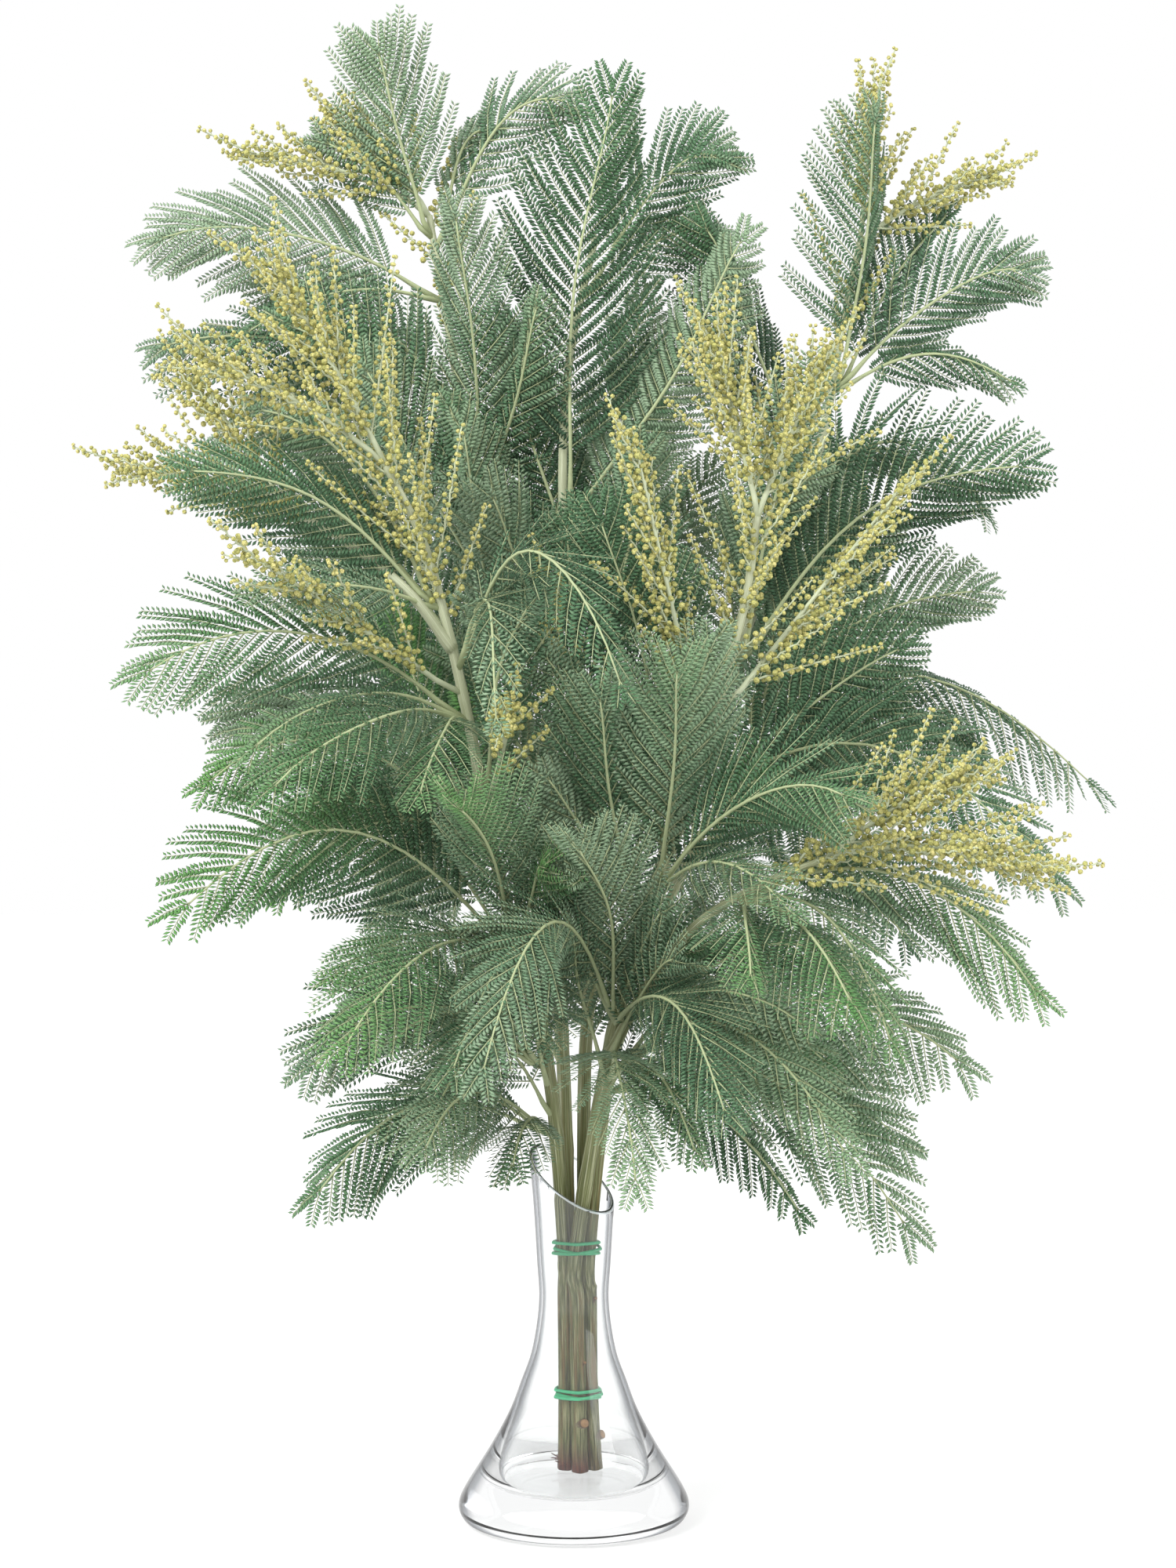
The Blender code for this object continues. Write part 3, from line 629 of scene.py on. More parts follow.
def leaflet_material(settings):
    # Silver wattle leaflets: matt and finely downy, deep green above and grey-green below, so
    # turned leaflets show as paler flecks and the down gives a soft sheen at grazing angles.
    made, tree, shader = start_material("downy_wattle_leaflets")
    grain = node(tree, "ShaderNodeAttribute", attribute_name="grain")
    split = node(tree, "ShaderNodeSeparateColor", {"Color": grain.outputs["Color"]})
    above = ramp(tree, split.outputs["Green"],
                 ((0.0, tuple(settings.deep)), (0.5, tuple(settings.upper)), (1.0, tuple(settings.sage))))
    under = settings.under
    below = ramp(tree, split.outputs["Green"],
                 ((0.0, shaded(under, 0.62)), (1.0, tuple(under))))
    side = ramp(tree, split.outputs["Red"], ((0.49, BLACK), (0.51, WHITE)))
    faces = mixed(tree, side, above, below)
    tree.links.new(mixed(tree, split.outputs["Blue"], faces, tuple(settings.fresh)),
                   shader.inputs["Base Color"])
    shader.inputs["Roughness"].default_value = 0.55
    shader.inputs["Sheen Weight"].default_value = 0.04
    shader.inputs["Sheen Roughness"].default_value = 0.5
    return made


def rib_material(settings):
    # Leaf ribs: pale yellow-green, covered in short down, with a faint lengthwise mottle.
    made, tree, shader = start_material("downy_leaf_ribs")
    where = node(tree, "ShaderNodeTexCoord")
    mottle = node(tree, "ShaderNodeTexNoise", {"Vector": where.outputs["Object"], "Scale": 260.0,
                                               "Detail": 3.0})
    tree.links.new(mixed(tree, mottle.outputs["Fac"], shaded(settings.rib, 0.7), tuple(settings.rib)),
                   shader.inputs["Base Color"])
    shader.inputs["Roughness"].default_value = 0.6
    return made


def bud_material(settings):
    # Flower heads in tight bud: balls of dozens of tiny florets, so the surface is a fine
    # pebble, olive at first and dull gold where the florets are about to open. The gaps between the
    # florets are darkened with painted shade.
    made, tree, shader = start_material("tight_flower_buds")
    where = node(tree, "ShaderNodeTexCoord")
    grain = node(tree, "ShaderNodeAttribute", attribute_name="grain")
    split = node(tree, "ShaderNodeSeparateColor", {"Color": grain.outputs["Color"]})
    florets = node(tree, "ShaderNodeTexVoronoi",
                   {"Vector": where.outputs["Object"], "Scale": 1 / (0.8 * MM)})
    ripe = mixed(tree, split.outputs["Green"], tuple(settings.bud_green), tuple(settings.bud_gold))
    # Painted shade: the gaps between the florets are darkened towards a deeper olive.
    dark = shaded(settings.bud_green, 0.6)
    painted_gap_shade = ramp(tree, florets.outputs["Distance"], ((0.25, BLACK), (0.75, WHITE)))
    tree.links.new(mixed(tree, painted_gap_shade, ripe, dark), shader.inputs["Base Color"])
    bump = node(tree, "ShaderNodeBump", {"Height": florets.outputs["Distance"], "Strength": 0.6,
                                         "Distance": 0.0004}, invert=True)
    tree.links.new(bump.outputs["Normal"], shader.inputs["Normal"])
    shader.inputs["Roughness"].default_value = 0.65
    return made


def stalk_material(settings):
    # Flower stalks: young, smooth and waxy, pale grey-green.
    made, tree, shader = start_material("waxy_flower_stalks")
    where = node(tree, "ShaderNodeTexCoord")
    mottle = node(tree, "ShaderNodeTexNoise", {"Vector": where.outputs["Object"], "Scale": 180.0,
                                               "Detail": 2.0})
    dark = shaded(settings.stalk, 0.66)
    tree.links.new(mixed(tree, mottle.outputs["Fac"], dark, tuple(settings.stalk)),
                   shader.inputs["Base Color"])
    shader.inputs["Roughness"].default_value = 0.5
    return made


def bark_material(settings):
    # Young wattle bark: ridged lengthwise, olive green with a pale waxy bloom on the ridges and
    # brown streaks low down, where it is older and darker, and dried reddish brown at the foot.
    made, tree, shader = start_material("ridged_young_bark")
    grain = node(tree, "ShaderNodeAttribute", attribute_name="grain")
    split = node(tree, "ShaderNodeSeparateColor", {"Color": grain.outputs["Color"]})
    uv = node(tree, "ShaderNodeTexCoord")
    stretch = node(tree, "ShaderNodeMapping", {"Vector": uv.outputs["UV"], "Scale": (22, 1.6, 1)})
    fibres = node(tree, "ShaderNodeTexNoise", {"Vector": stretch.outputs["Vector"], "Scale": 1.6,
                                               "Detail": 5.0, "Roughness": 0.6})
    wide = node(tree, "ShaderNodeMapping", {"Vector": uv.outputs["UV"], "Scale": (7, 0.8, 1),
                                            "Location": (3, 1, 0)})
    patches = node(tree, "ShaderNodeTexNoise", {"Vector": wide.outputs["Vector"], "Scale": 1.2,
                                                "Detail": 3.0})
    olive = tuple(settings.olive)
    young = ramp(tree, fibres.outputs["Fac"],
                 ((0.3, shaded(olive, 0.5)), (0.5, olive), (0.68, tuple(settings.bloom))))
    old = ramp(tree, fibres.outputs["Fac"], ((0.34, linear("#1F1D0E")), (0.5, linear("#5B612E")),
                                             (0.66, linear("#A5A077"))))
    base = mixed(tree, split.outputs["Blue"], young, old)
    brown = ramp(tree, patches.outputs["Fac"], ((0.52, BLACK), (0.64, WHITE)))
    low = node(tree, "ShaderNodeMath", {0: brown, 1: split.outputs["Blue"]}, operation="MULTIPLY")
    streaked = mixed(tree, low.outputs[0], base, tuple(settings.streak))
    waxy = node(tree, "ShaderNodeMath", {0: split.outputs["Green"], 1: 0.55}, operation="MULTIPLY")
    pale = mixed(tree, waxy.outputs[0], streaked, tuple(settings.bloom))
    dry = ramp(tree, fibres.outputs["Fac"], ((0.35, linear("#2E1208")), (0.65, linear("#74391E"))))
    tree.links.new(mixed(tree, split.outputs["Red"], pale, dry), shader.inputs["Base Color"])
    bump = node(tree, "ShaderNodeBump", {"Height": fibres.outputs["Fac"], "Strength": 0.5,
                                         "Distance": 0.0004})
    tree.links.new(bump.outputs["Normal"], shader.inputs["Normal"])
    shader.inputs["Roughness"].default_value = 0.55
    return made


def cut_material():
    # Freshly cut wood: pale orange-brown heart with fine rings.
    made, tree, shader = start_material("cut_wattle_wood")
    where = node(tree, "ShaderNodeTexCoord")
    rings = node(tree, "ShaderNodeTexNoise", {"Vector": where.outputs["Object"], "Scale": 900.0,
                                              "Detail": 2.0})
    tree.links.new(mixed(tree, rings.outputs["Fac"], linear("#7E5530"), linear("#C8A274")),
                   shader.inputs["Base Color"])
    shader.inputs["Roughness"].default_value = 0.8
    return made


def glass_material(settings, name, edges):
    # Clear soda-lime glass, blown and fire-polished: no grain at all. The upright wall is all but
    # invisible seen face on. Where it is seen on end, its colour is darkened into thin dark lines
    # of painted shade.
    made, tree, shader = start_material(name)
    tint = tuple(settings.tint)
    shader.inputs["Base Color"].default_value = tint
    shader.inputs["Roughness"].default_value = 0.0
    shader.inputs["IOR"].default_value = 1.5
    shader.inputs["Transmission Weight"].default_value = 1.0
    if edges:
        # Painted shade: the colour turns dark grey as the wall is seen edge-on, which draws dark edge
        # lines.
        on_end = node(tree, "ShaderNodeLayerWeight", {"Blend": 0.5})
        painted_edge_shade = ramp(tree, on_end.outputs["Facing"], ((0.0, tint), (0.48, tint),
                                                      (0.62, linear("#757A80")),
                                                      (0.76, linear("#16191C"))))
        tree.links.new(painted_edge_shade, shader.inputs["Base Color"])
    return made


def rim_material():
    # The fire-polished rim of the same glass: its tight curve gathers light, so it is given a pale,
    # faintly blue colour, a painted highlight that reads as a light line round the mouth.
    made, _, shader = start_material("fire_polished_rim_painted_highlight")
    # Painted highlight: a pale, faintly blue colour and less transmission make the rim show as a light
    # line.
    shader.inputs["Base Color"].default_value = linear("#EDF4F8")
    shader.inputs["Roughness"].default_value = 0.05
    shader.inputs["IOR"].default_value = 1.5
    shader.inputs["Transmission Weight"].default_value = 0.4
    return made


def rubber_material(settings):
    # Natural rubber bands: extruded and slit, satin, with a faint bloom of talc.
    made, tree, shader = start_material("green_rubber_band")
    where = node(tree, "ShaderNodeTexCoord")
    talc = node(tree, "ShaderNodeTexNoise", {"Vector": where.outputs["Object"], "Scale": 700.0,
                                             "Detail": 3.0})
    light = tuple(min(c * 1.35 + 0.02, 1) for c in settings.rubber[:3]) + (1,)
    tree.links.new(mixed(tree, talc.outputs["Fac"], tuple(settings.rubber), light),
                   shader.inputs["Base Color"])
    bump = node(tree, "ShaderNodeBump", {"Height": talc.outputs["Fac"], "Strength": 0.2,
                                         "Distance": 0.0001})
    tree.links.new(bump.outputs["Normal"], shader.inputs["Normal"])
    shader.inputs["Roughness"].default_value = 0.42
    return made


def paper_material(settings):
    # Matt white studio paper, lit from below as on a light table, so shadows on it stay faint. Its
    # tooth is finer than the picture can show.
    made, tree, shader = start_material("matt_studio_paper")
    where = node(tree, "ShaderNodeTexCoord")
    tooth = node(tree, "ShaderNodeTexNoise", {"Vector": where.outputs["Object"], "Scale": 900.0})
    grey = shaded(settings.paper, 0.99)
    tree.links.new(mixed(tree, tooth.outputs["Fac"], grey, tuple(settings.paper)),
                   shader.inputs["Base Color"])
    shader.inputs["Roughness"].default_value = 0.9
    shader.inputs["Emission Color"].default_value = WHITE
    shader.inputs["Emission Strength"].default_value = 0.62
    return made


def unit_of(shape):
    """Corners and triangles of a small bmesh shape, ready to be copied many times."""
    bmesh.ops.triangulate(shape, faces=shape.faces)
    bmesh.ops.recalc_face_normals(shape, faces=shape.faces)
    shape.verts.index_update()
    corners = np.array([tuple(v.co) for v in shape.verts])
    triangles = np.array([[v.index for v in f.verts] for f in shape.faces])
    shape.free()
    return corners, triangles


def leaflet_unit():
    """A slim lens, one long along X, widest before its middle."""
    shape = bmesh.new()
    bmesh.ops.create_uvsphere(shape, u_segments=4, v_segments=2, radius=0.5)
    bmesh.ops.translate(shape, verts=shape.verts, vec=(0.5, 0, 0))
    for v in shape.verts:
        if 0.1 < v.co.x < 0.9:
            v.co.x = 0.55
    return unit_of(shape)


def bud_unit():
    """A ball with few faces, because it is copied thousands of times."""
    shape = bmesh.new()
    bmesh.ops.create_uvsphere(shape, u_segments=6, v_segments=4, radius=0.5)
    return unit_of(shape)


def stalk_unit(sides):
    """A tapering stick, one long along X."""
    shape = bmesh.new()
    bmesh.ops.create_cone(shape, cap_ends=True, segments=sides, radius1=0.5, radius2=0.36, depth=1)
    bmesh.ops.rotate(shape, verts=shape.verts, matrix=Matrix.Rotation(math.pi / 2, 3, "Y"))
    bmesh.ops.translate(shape, verts=shape.verts, vec=(0.5, 0, 0))
    return unit_of(shape)


class Pile:
    """Copies of small shapes and tubes, gathered into one piece with its own materials. Its attribute
    "grain" holds up to three shares that the materials mix their colours by."""

    def __init__(self, name, materials):
        self.name, self.materials = name, materials
        self.corners, self.faces, self.slots, self.grain, self.uv = [], [], [], [], []
        self.count = 0

    def take(self, corners, triangles, slot, grain, uv=None):
        self.corners.append(corners)
        self.faces.append(triangles + self.count)
        self.slots.append(np.full(len(triangles), slot))
        self.grain.append(grain)
        self.uv.append(np.zeros((len(triangles) * 3, 2)) if uv is None else uv)
        self.count += len(corners)

    def scatter(self, unit, frames, origins, slot, tones, fresh=0):
        """Copies a small shape. Each frame has the copy's X, Y and Z axes as its rows."""
        corners, triangles = unit
        n = len(origins)
        if not n:
            return
        spread = np.einsum("ij,njk->nik", corners, frames) + origins[:, None, :]
        steps = np.arange(n)[:, None, None] * len(corners)
        faces = (triangles[None] + steps).reshape(-1, 3)
        grain = np.zeros((n, len(corners), 4))
        above, below = corners[:, 2] > 1e-6, corners[:, 2] < -1e-6
        grain[:, :, 0] = np.where(above, 0.0, np.where(below, 1.0, 0.5))
        grain[:, :, 1] = tones[:, None]
        grain[:, :, 2] = fresh
        grain[:, :, 3] = 1
        self.take(spread.reshape(-1, 3), faces, slot, grain.reshape(-1, 4))

    def tube(self, path, radius, sides, slot, tone=0.5, red=None, blue=None, closed=False):
        """A grid rolled up round a path. radius takes the share along it and the turn round it, and
        tone, red and blue are numbers or take the share along it and the corners."""
        rows = len(path) - (0 if closed else 1)
        sheet = bmesh.new()
        layer = sheet.loops.layers.uv.new("UVMap")
        bmesh.ops.create_grid(sheet, x_segments=sides, y_segments=rows, size=0.5, calc_uvs=True)
        frames = carried_frames(path, closed)
        shares = {}
        for v in sheet.verts:
            round_ = round((v.co.x + 0.5) * sides)
            row = round((v.co.y + 0.5) * rows)
            shares[v] = row / rows
            origin, side, up = frames[row % len(path)]
            turn = 2 * math.pi * round_ / sides
            out = side * math.cos(turn) + up * math.sin(turn)
            v.co = origin + out * radius(row / rows, turn)
        measure = sum((b - a).length for a, b in zip(path, path[1:])) * 100
        for face in sheet.faces:
            for loop in face.loops:
                loop[layer].uv.y *= measure / UV_REACH
        bmesh.ops.remove_doubles(sheet, verts=sheet.verts, dist=1e-7)
        if not closed:
            rims = [e for e in sheet.edges if e.is_boundary]
            bmesh.ops.holes_fill(sheet, edges=rims, sides=0)
        bmesh.ops.triangulate(sheet, faces=sheet.faces)
        bmesh.ops.recalc_face_normals(sheet, faces=sheet.faces)
        sheet.verts.index_update()
        corners = np.array([tuple(v.co) for v in sheet.verts])
        triangles = np.array([[v.index for v in f.verts] for f in sheet.faces])
        uv = np.array([tuple(loop[layer].uv) for f in sheet.faces for loop in f.loops])
        grain = np.zeros((len(corners), 4))
        along = np.array([shares.get(v, 0) for v in sheet.verts])
        grain[:, 0] = red(along, corners) if callable(red) else red or 0
        grain[:, 1] = tone(along, corners) if callable(tone) else tone
        grain[:, 2] = blue(along, corners) if blue else 0
        grain[:, 3] = 1
        sheet.free()
        self.take(corners, triangles, slot, grain, uv)

    def finish(self):
        corners = np.concatenate(self.corners)
        faces = np.concatenate(self.faces)
        mesh = bpy.data.meshes.new(self.name)
        mesh.vertices.add(len(corners))
        mesh.vertices.foreach_set("co", corners.astype(np.float32).ravel())
        mesh.loops.add(len(faces) * 3)
        mesh.loops.foreach_set("vertex_index", faces.astype(np.int32).ravel())
        mesh.polygons.add(len(faces))
        mesh.polygons.foreach_set("loop_start", np.arange(0, len(faces) * 3, 3, dtype=np.int32))
        mesh.polygons.foreach_set("material_index", np.concatenate(self.slots).astype(np.int32))
        mesh.update(calc_edges=True)
        layer = mesh.uv_layers.new(name="UVMap")
        layer.uv.foreach_set("vector", np.concatenate(self.uv).astype(np.float32).ravel())
        tint = mesh.color_attributes.new("grain", "FLOAT_COLOR", "POINT")
        tint.data.foreach_set("color", np.concatenate(self.grain).astype(np.float32).ravel())
        for material in self.materials:
            mesh.materials.append(material)
        mesh.shade_smooth()
        mesh.validate()
        piece = bpy.data.objects.new(self.name, mesh)
        bpy.context.scene.collection.objects.link(piece)
        return piece


def carried_frames(path, closed=False):
    """Each point with two directions across the path, carried along without twisting."""
    count = len(path)
    frames = []
    side = None
    for i, point in enumerate(path):
        if closed:
            ahead = (path[(i + 1) % count] - path[i - 1]).normalized()
        else:
            ahead = (path[min(i + 1, count - 1)] - path[max(i - 1, 0)]).normalized()
        if side is None:
            side = ahead.cross(Vector((0.3, 0.9, 0.1)) if abs(ahead.z) > 0.5 else UP).normalized()
        side = (side - ahead * side.dot(ahead)).normalized()
        frames.append((point, side, ahead.cross(side)))
    return frames


def build_vase(settings):
    """Turns the wall's profile, cuts the slanting mouth and melts its edge round."""
    def fine(points, steps):
        return [(p.x, p.y) for p in smooth_path([Vector((r, z, 0)) for r, z in points], steps)]
    profile = [*((r, FLOOR_HEIGHT + dip) for r, dip in FLOOR_DIP),
               *fine(VASE_INSIDE, 46), *fine(VASE_OUTSIDE, 60), *VASE_UNDERSIDE]
    shape = bmesh.new()
    verts = [shape.verts.new(place((r, 0, z))) for r, z in profile]
    edges = [shape.edges.new(pair) for pair in zip(verts, verts[1:])]
    bmesh.ops.spin(shape, geom=verts + edges, cent=(0, 0, 0), axis=(0, 0, 1), angle=2 * math.pi,
                   steps=settings.sides, use_merge=True)
    bmesh.ops.remove_doubles(shape, verts=shape.verts, dist=1e-6)
    slope = Vector((-RIM_SLOPE[0], -RIM_SLOPE[1], 1)).normalized()
    bmesh.ops.bisect_plane(shape, geom=shape.verts[:] + shape.edges[:] + shape.faces[:], dist=1e-7,
                           plane_co=UP * RIM_HEIGHT * MM, plane_no=slope, clear_outer=True)
    mouth = [e for e in shape.edges if e.is_boundary]
    wall = bmesh.ops.bridge_loops(shape, edges=mouth)
    edge_ring = list({e for f in wall["faces"] for e in f.edges
                      if any(other not in wall["faces"] for other in e.link_faces)})
    lip = bmesh.ops.bevel(shape, geom=edge_ring, offset=settings.lip, offset_type="OFFSET",
                          affect="EDGES", segments=4, profile=0.5, material=-1)
    for face in {*lip["faces"], *(f for f in wall["faces"] if f.is_valid)}:
        face.material_index = 1
    bmesh.ops.recalc_face_normals(shape, faces=shape.faces)
    for face in shape.faces:
        if face.material_index == 0 and abs(face.normal.z) > LEVEL_GLASS:
            face.material_index = 2
    mesh = bpy.data.meshes.new("glass_vase")
    shape.to_mesh(mesh)
    shape.free()
    mesh.materials.append(glass_material(settings, "blown_soda_lime_glass", True))
    mesh.materials.append(rim_material())
    mesh.materials.append(glass_material(settings, "level_soda_lime_glass", False))
    mesh.shade_smooth()
    vase = bpy.data.objects.new("glass_vase", mesh)
    bpy.context.scene.collection.objects.link(vase)
    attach(vase, "root")
    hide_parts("vase")


def build_bands(settings):
    """Winds each band round the five stems: straight between two of them, and rising and falling."""
    rubber = rubber_material(settings)
    half = settings.thickness / 2 / MM
    flat = RING_RADIUS * math.cos(STEM_TO_STEM / 2)
    outer = STEM_RADIUS * STEM_SWELL + half
    for name, level, spread in BANDS:
        x, y = NECK_AXIS[level]
        path = []
        for step in range(BAND_STEPS * BAND_WINDINGS):
            turn = 2 * math.pi * step / BAND_STEPS
            phase = turn / BAND_WINDINGS
            past_flat = (turn - FIRST_STEM_AT - STEM_TO_STEM / 2) % STEM_TO_STEM
            past_flat = min(past_flat, STEM_TO_STEM - past_flat)
            radius = flat / math.cos(past_flat) + outer + BAND_LIFT * (1 + math.cos(phase))
            path.append(place((x + radius * math.cos(turn), y + radius * math.sin(turn),
                               NECK_HEIGHTS[level] + spread * math.sin(phase))))
        pile = Pile("rubber_" + name, [rubber])
        pile.tube(path, lambda along, turn: half * MM, 10, 0, closed=True)
        band = pile.finish()
        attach(band, "root")
        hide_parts(name)


def build_stems(settings):
    """Ridged stems with leaf scars, dried feet and the fused side branches."""
    bark, cut = bark_material(settings), cut_material()
    ridge = settings.ridge
    for name in STEM_PATHS:
        rng = random.Random(name)
        pile = Pile("branch_" + name, [bark, cut])
        for part in [name] + [twig for twig, (parent, _) in TWIG_PATHS.items() if parent == name]:
            stem = STEMS[part]
            main = part == name
            scars = [rng.uniform(0.06, 0.95) for _ in range(9 if main else 4)]
            lean = rng.uniform(0, 6)

            def radius(along, turn, stem=stem, scars=scars, lean=lean, main=main):
                swell = sum(math.exp(-((along - s) / 0.006) ** 2) for s in scars) * 0.14
                flare = 0.10 * math.exp(-along / 0.012) if main else 0.35 * math.exp(-along / 0.05)
                wave = ridge * math.cos(5 * turn + lean + 3 * along) + ridge * 0.4 * math.cos(3 * turn)
                return stem.radius(along) * MM * (STEM_SWELL + swell + flare + wave * 0.6)

            def foot(along, corners, main=main, name=name):
                dried = 1.0 if name in DRIED_FEET else 0.45
                above = corners[:, 2] / MM - NECK_HEIGHTS[0]
                return dried * np.clip(1.25 - above / 13, 0, 1) if main else along * 0

            def bloom(along, corners):
                return np.clip((corners[:, 2] / MM - 150) / 260, 0, 1)

            def low(along, corners):
                return np.clip(1.1 - corners[:, 2] / MM / 260, 0, 1)

            path = smooth_path(stem.points, 120 if main else 36)
            pile.tube(path, radius, 20 if main else 14, 0, tone=bloom, red=foot, blue=low)
        if name == FRAYED_STEM:
            fray_foot(pile, STEMS[name], rng)
        for stub_stem, level, toward, size in STUBS:
            if stub_stem == name:
                build_stub(pile, STEMS[name].at(level)[0], Vector(toward).normalized(), size)
        piece = pile.finish()
        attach(piece, "root")
        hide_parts("stem_" + name)


def fray_foot(pile, stem, rng):
    """Torn reddish fibres round the foot of the stem that was broken off and not cut."""
    for k in range(FIBRES):
        out = Vector((math.cos(SPIRAL * k), math.sin(SPIRAL * k), 0))
        low = rng.uniform(0.4, 7) * MM
        start = stem.path[0] + out * stem.first * rng.uniform(0.6, 0.95) * MM + UP * low
        way = (out * rng.uniform(0.5, 1) + UP * rng.uniform(0.2, 1.1)).normalized()
        reach = rng.uniform(2.0, 4.5) * MM
        path = [start, start + way * reach * 0.5, start + (way + out * 0.3) * reach]
        thick = rng.uniform(0.35, 0.8) * MM
        pile.tube(path, lambda along, around, thick=thick: thick * (1 - 0.6 * along), 5, 0,
                  tone=0.1, red=1)


def build_stub(pile, start, way, size):
    """The stub of a side shoot, thickened at its foot, with a cut face of raw wood."""
    reach, thickness = size[0] * MM, size[1] * MM
    path = [start + way * reach * t for t in (0, 0.3, 0.6, 0.8, 1.0)]

    def radius(along, around):
        return thickness * (1.25 - 0.3 * along + 0.08 * math.cos(3 * around))

    pile.tube(path, radius, 12, 0, tone=0.3, red=lambda along, corners: 0.35 + 0.5 * along)
    pile.tube([path[-1] - way * 0.4 * MM, path[-1] + way * 0.25 * MM],
              lambda along, around: thickness * 0.86, 12, 1)


def coarse_frond_points(rib, longest):
    """Where the solid frond has its corners."""
    points = []
    stations = [0, PETIOLE / 2]
    stations += [PETIOLE + (BLADE_END - PETIOLE) * i / PAIRS for i in range(PAIRS + 1)]
    rows = []
    for t in stations:
        _, side, _ = rib.frame(t)
        rows.append([rib.at(t) + side * RIB_HALF_WIDTH * MM * way for way in (-1, 1)])
        points += rows[-1]
    for i in range(PAIRS):
        share = (i + 0.5) / PAIRS
        ahead, side, normal = rib.frame(PETIOLE + (BLADE_END - PETIOLE) * share)
        reach_length = pinna_length(share, longest) * MM
        angle = pinna_angle(share)
        low, high = rows[i + 2], rows[i + 3]
        for way in (0, 1):
            out = side * (2 * way - 1)
            reach = ahead * math.cos(angle) + out * math.sin(angle)
            points.append((low[way] + high[way]) / 2 + reach * reach_length
                          - normal * reach_length * PINNA_DROOP)
            if longest >= BROAD_PINNA:
                early = ahead * math.cos(angle + 0.12) + out * math.sin(angle + 0.12)
                points.append(low[way] + early * reach_length * 0.6 - normal * reach_length * 0.02)
    points.append(rib.tip + rib.along(1) * pinna_length(1, longest) * MM)
    return points


def unit_rows(vectors):
    return vectors / np.linalg.norm(vectors, axis=-1, keepdims=True)


class Growth:
    """What the fine stalks of one piece are grown with, and the turn that its solid was given."""

    def __init__(self, pile, units, settings, rng, root, turn):
        self.pile, self.units, self.settings, self.rng = pile, units, settings, rng
        self.root, self.turn = root, turn
        self.matrix = np.array(turn.to_matrix()).T

    def unturned(self, root):
        return Growth(self.pile, self.units, self.settings, self.rng, root, Quaternion())

    def moved(self, point):
        return self.root + self.turn @ (point - self.root)

    def scatter(self, unit, frames, origins, slot, tones, fresh=0):
        root = np.array(self.root)
        self.pile.scatter(self.units[unit], frames @ self.matrix, (origins - root) @ self.matrix + root,
                          slot, tones, fresh)


def dress_pinna(growth, base, reach, normal, size, tone, fresh, bend):
    """One pinna: a thin drooping stalk with a row of leaflets down each side."""
    settings, rng = growth.settings, growth.rng
    count = max(4, int(size / settings.leaflet_step))
    s = (np.arange(count) + 0.7) / (count + 0.2)
    base, reach, normal, bend = (np.array(v) for v in (base, reach, normal, bend))
    centre = base + size * (reach * s[:, None] + bend * (s ** 2)[:, None])
    tangent = unit_rows(reach + 2 * bend * s[:, None])
    across = unit_rows(np.cross(tangent, normal))
    up = np.cross(across, tangent)
    taper = 0.5 + 0.5 * np.sin(np.pi * np.clip(0.2 + 0.75 * s, 0, 1)) ** 0.7
    for side in (-1, 1):
        lean = math.radians(66) - 0.35 * s + rng.normal(0, 0.05, count)
        lift = 0.16 + rng.normal(0, 0.07, count)
        axis = unit_rows(tangent * np.cos(lean)[:, None] + across * (side * np.sin(lean))[:, None]
                         + up * lift[:, None])
        tilt = side * 0.38 + rng.normal(0, 0.12, count)
        flat = unit_rows(np.cross(up, axis))
        top = np.cross(axis, flat)
        wide = flat * np.cos(tilt)[:, None] + top * np.sin(tilt)[:, None]
        top = np.cross(axis, wide)
        long = settings.leaflet * taper * (1 + rng.normal(0, 0.05, count))
        frames = np.stack([axis * long[:, None], wide * (LEAFLET_WIDTH * taper)[:, None],
                           top * LEAFLET_THICKNESS], axis=1)
        origins = centre + across * side * LEAFLET_SEAT
        tones = np.clip(tone + 0.16 * s + rng.normal(0, 0.07, count), 0, 1)
        growth.scatter("leaflet", frames, origins, 1, tones, fresh)
    joints = np.array([0.0, 0.5, 1.0])
    spine = base + size * (reach * joints[:, None] + bend * (joints ** 2)[:, None])
    steps = spine[1:] - spine[:-1]
    width = np.array(PINNA_STALK)
    sides = unit_rows(np.cross(steps, normal))
    tops = np.cross(unit_rows(steps), sides)
    frames = np.stack([steps, sides * width[:, None], tops * width[:, None]], axis=1)
    growth.scatter("stalk", frames, spine[:-1], 0, np.full(2, 0.5))


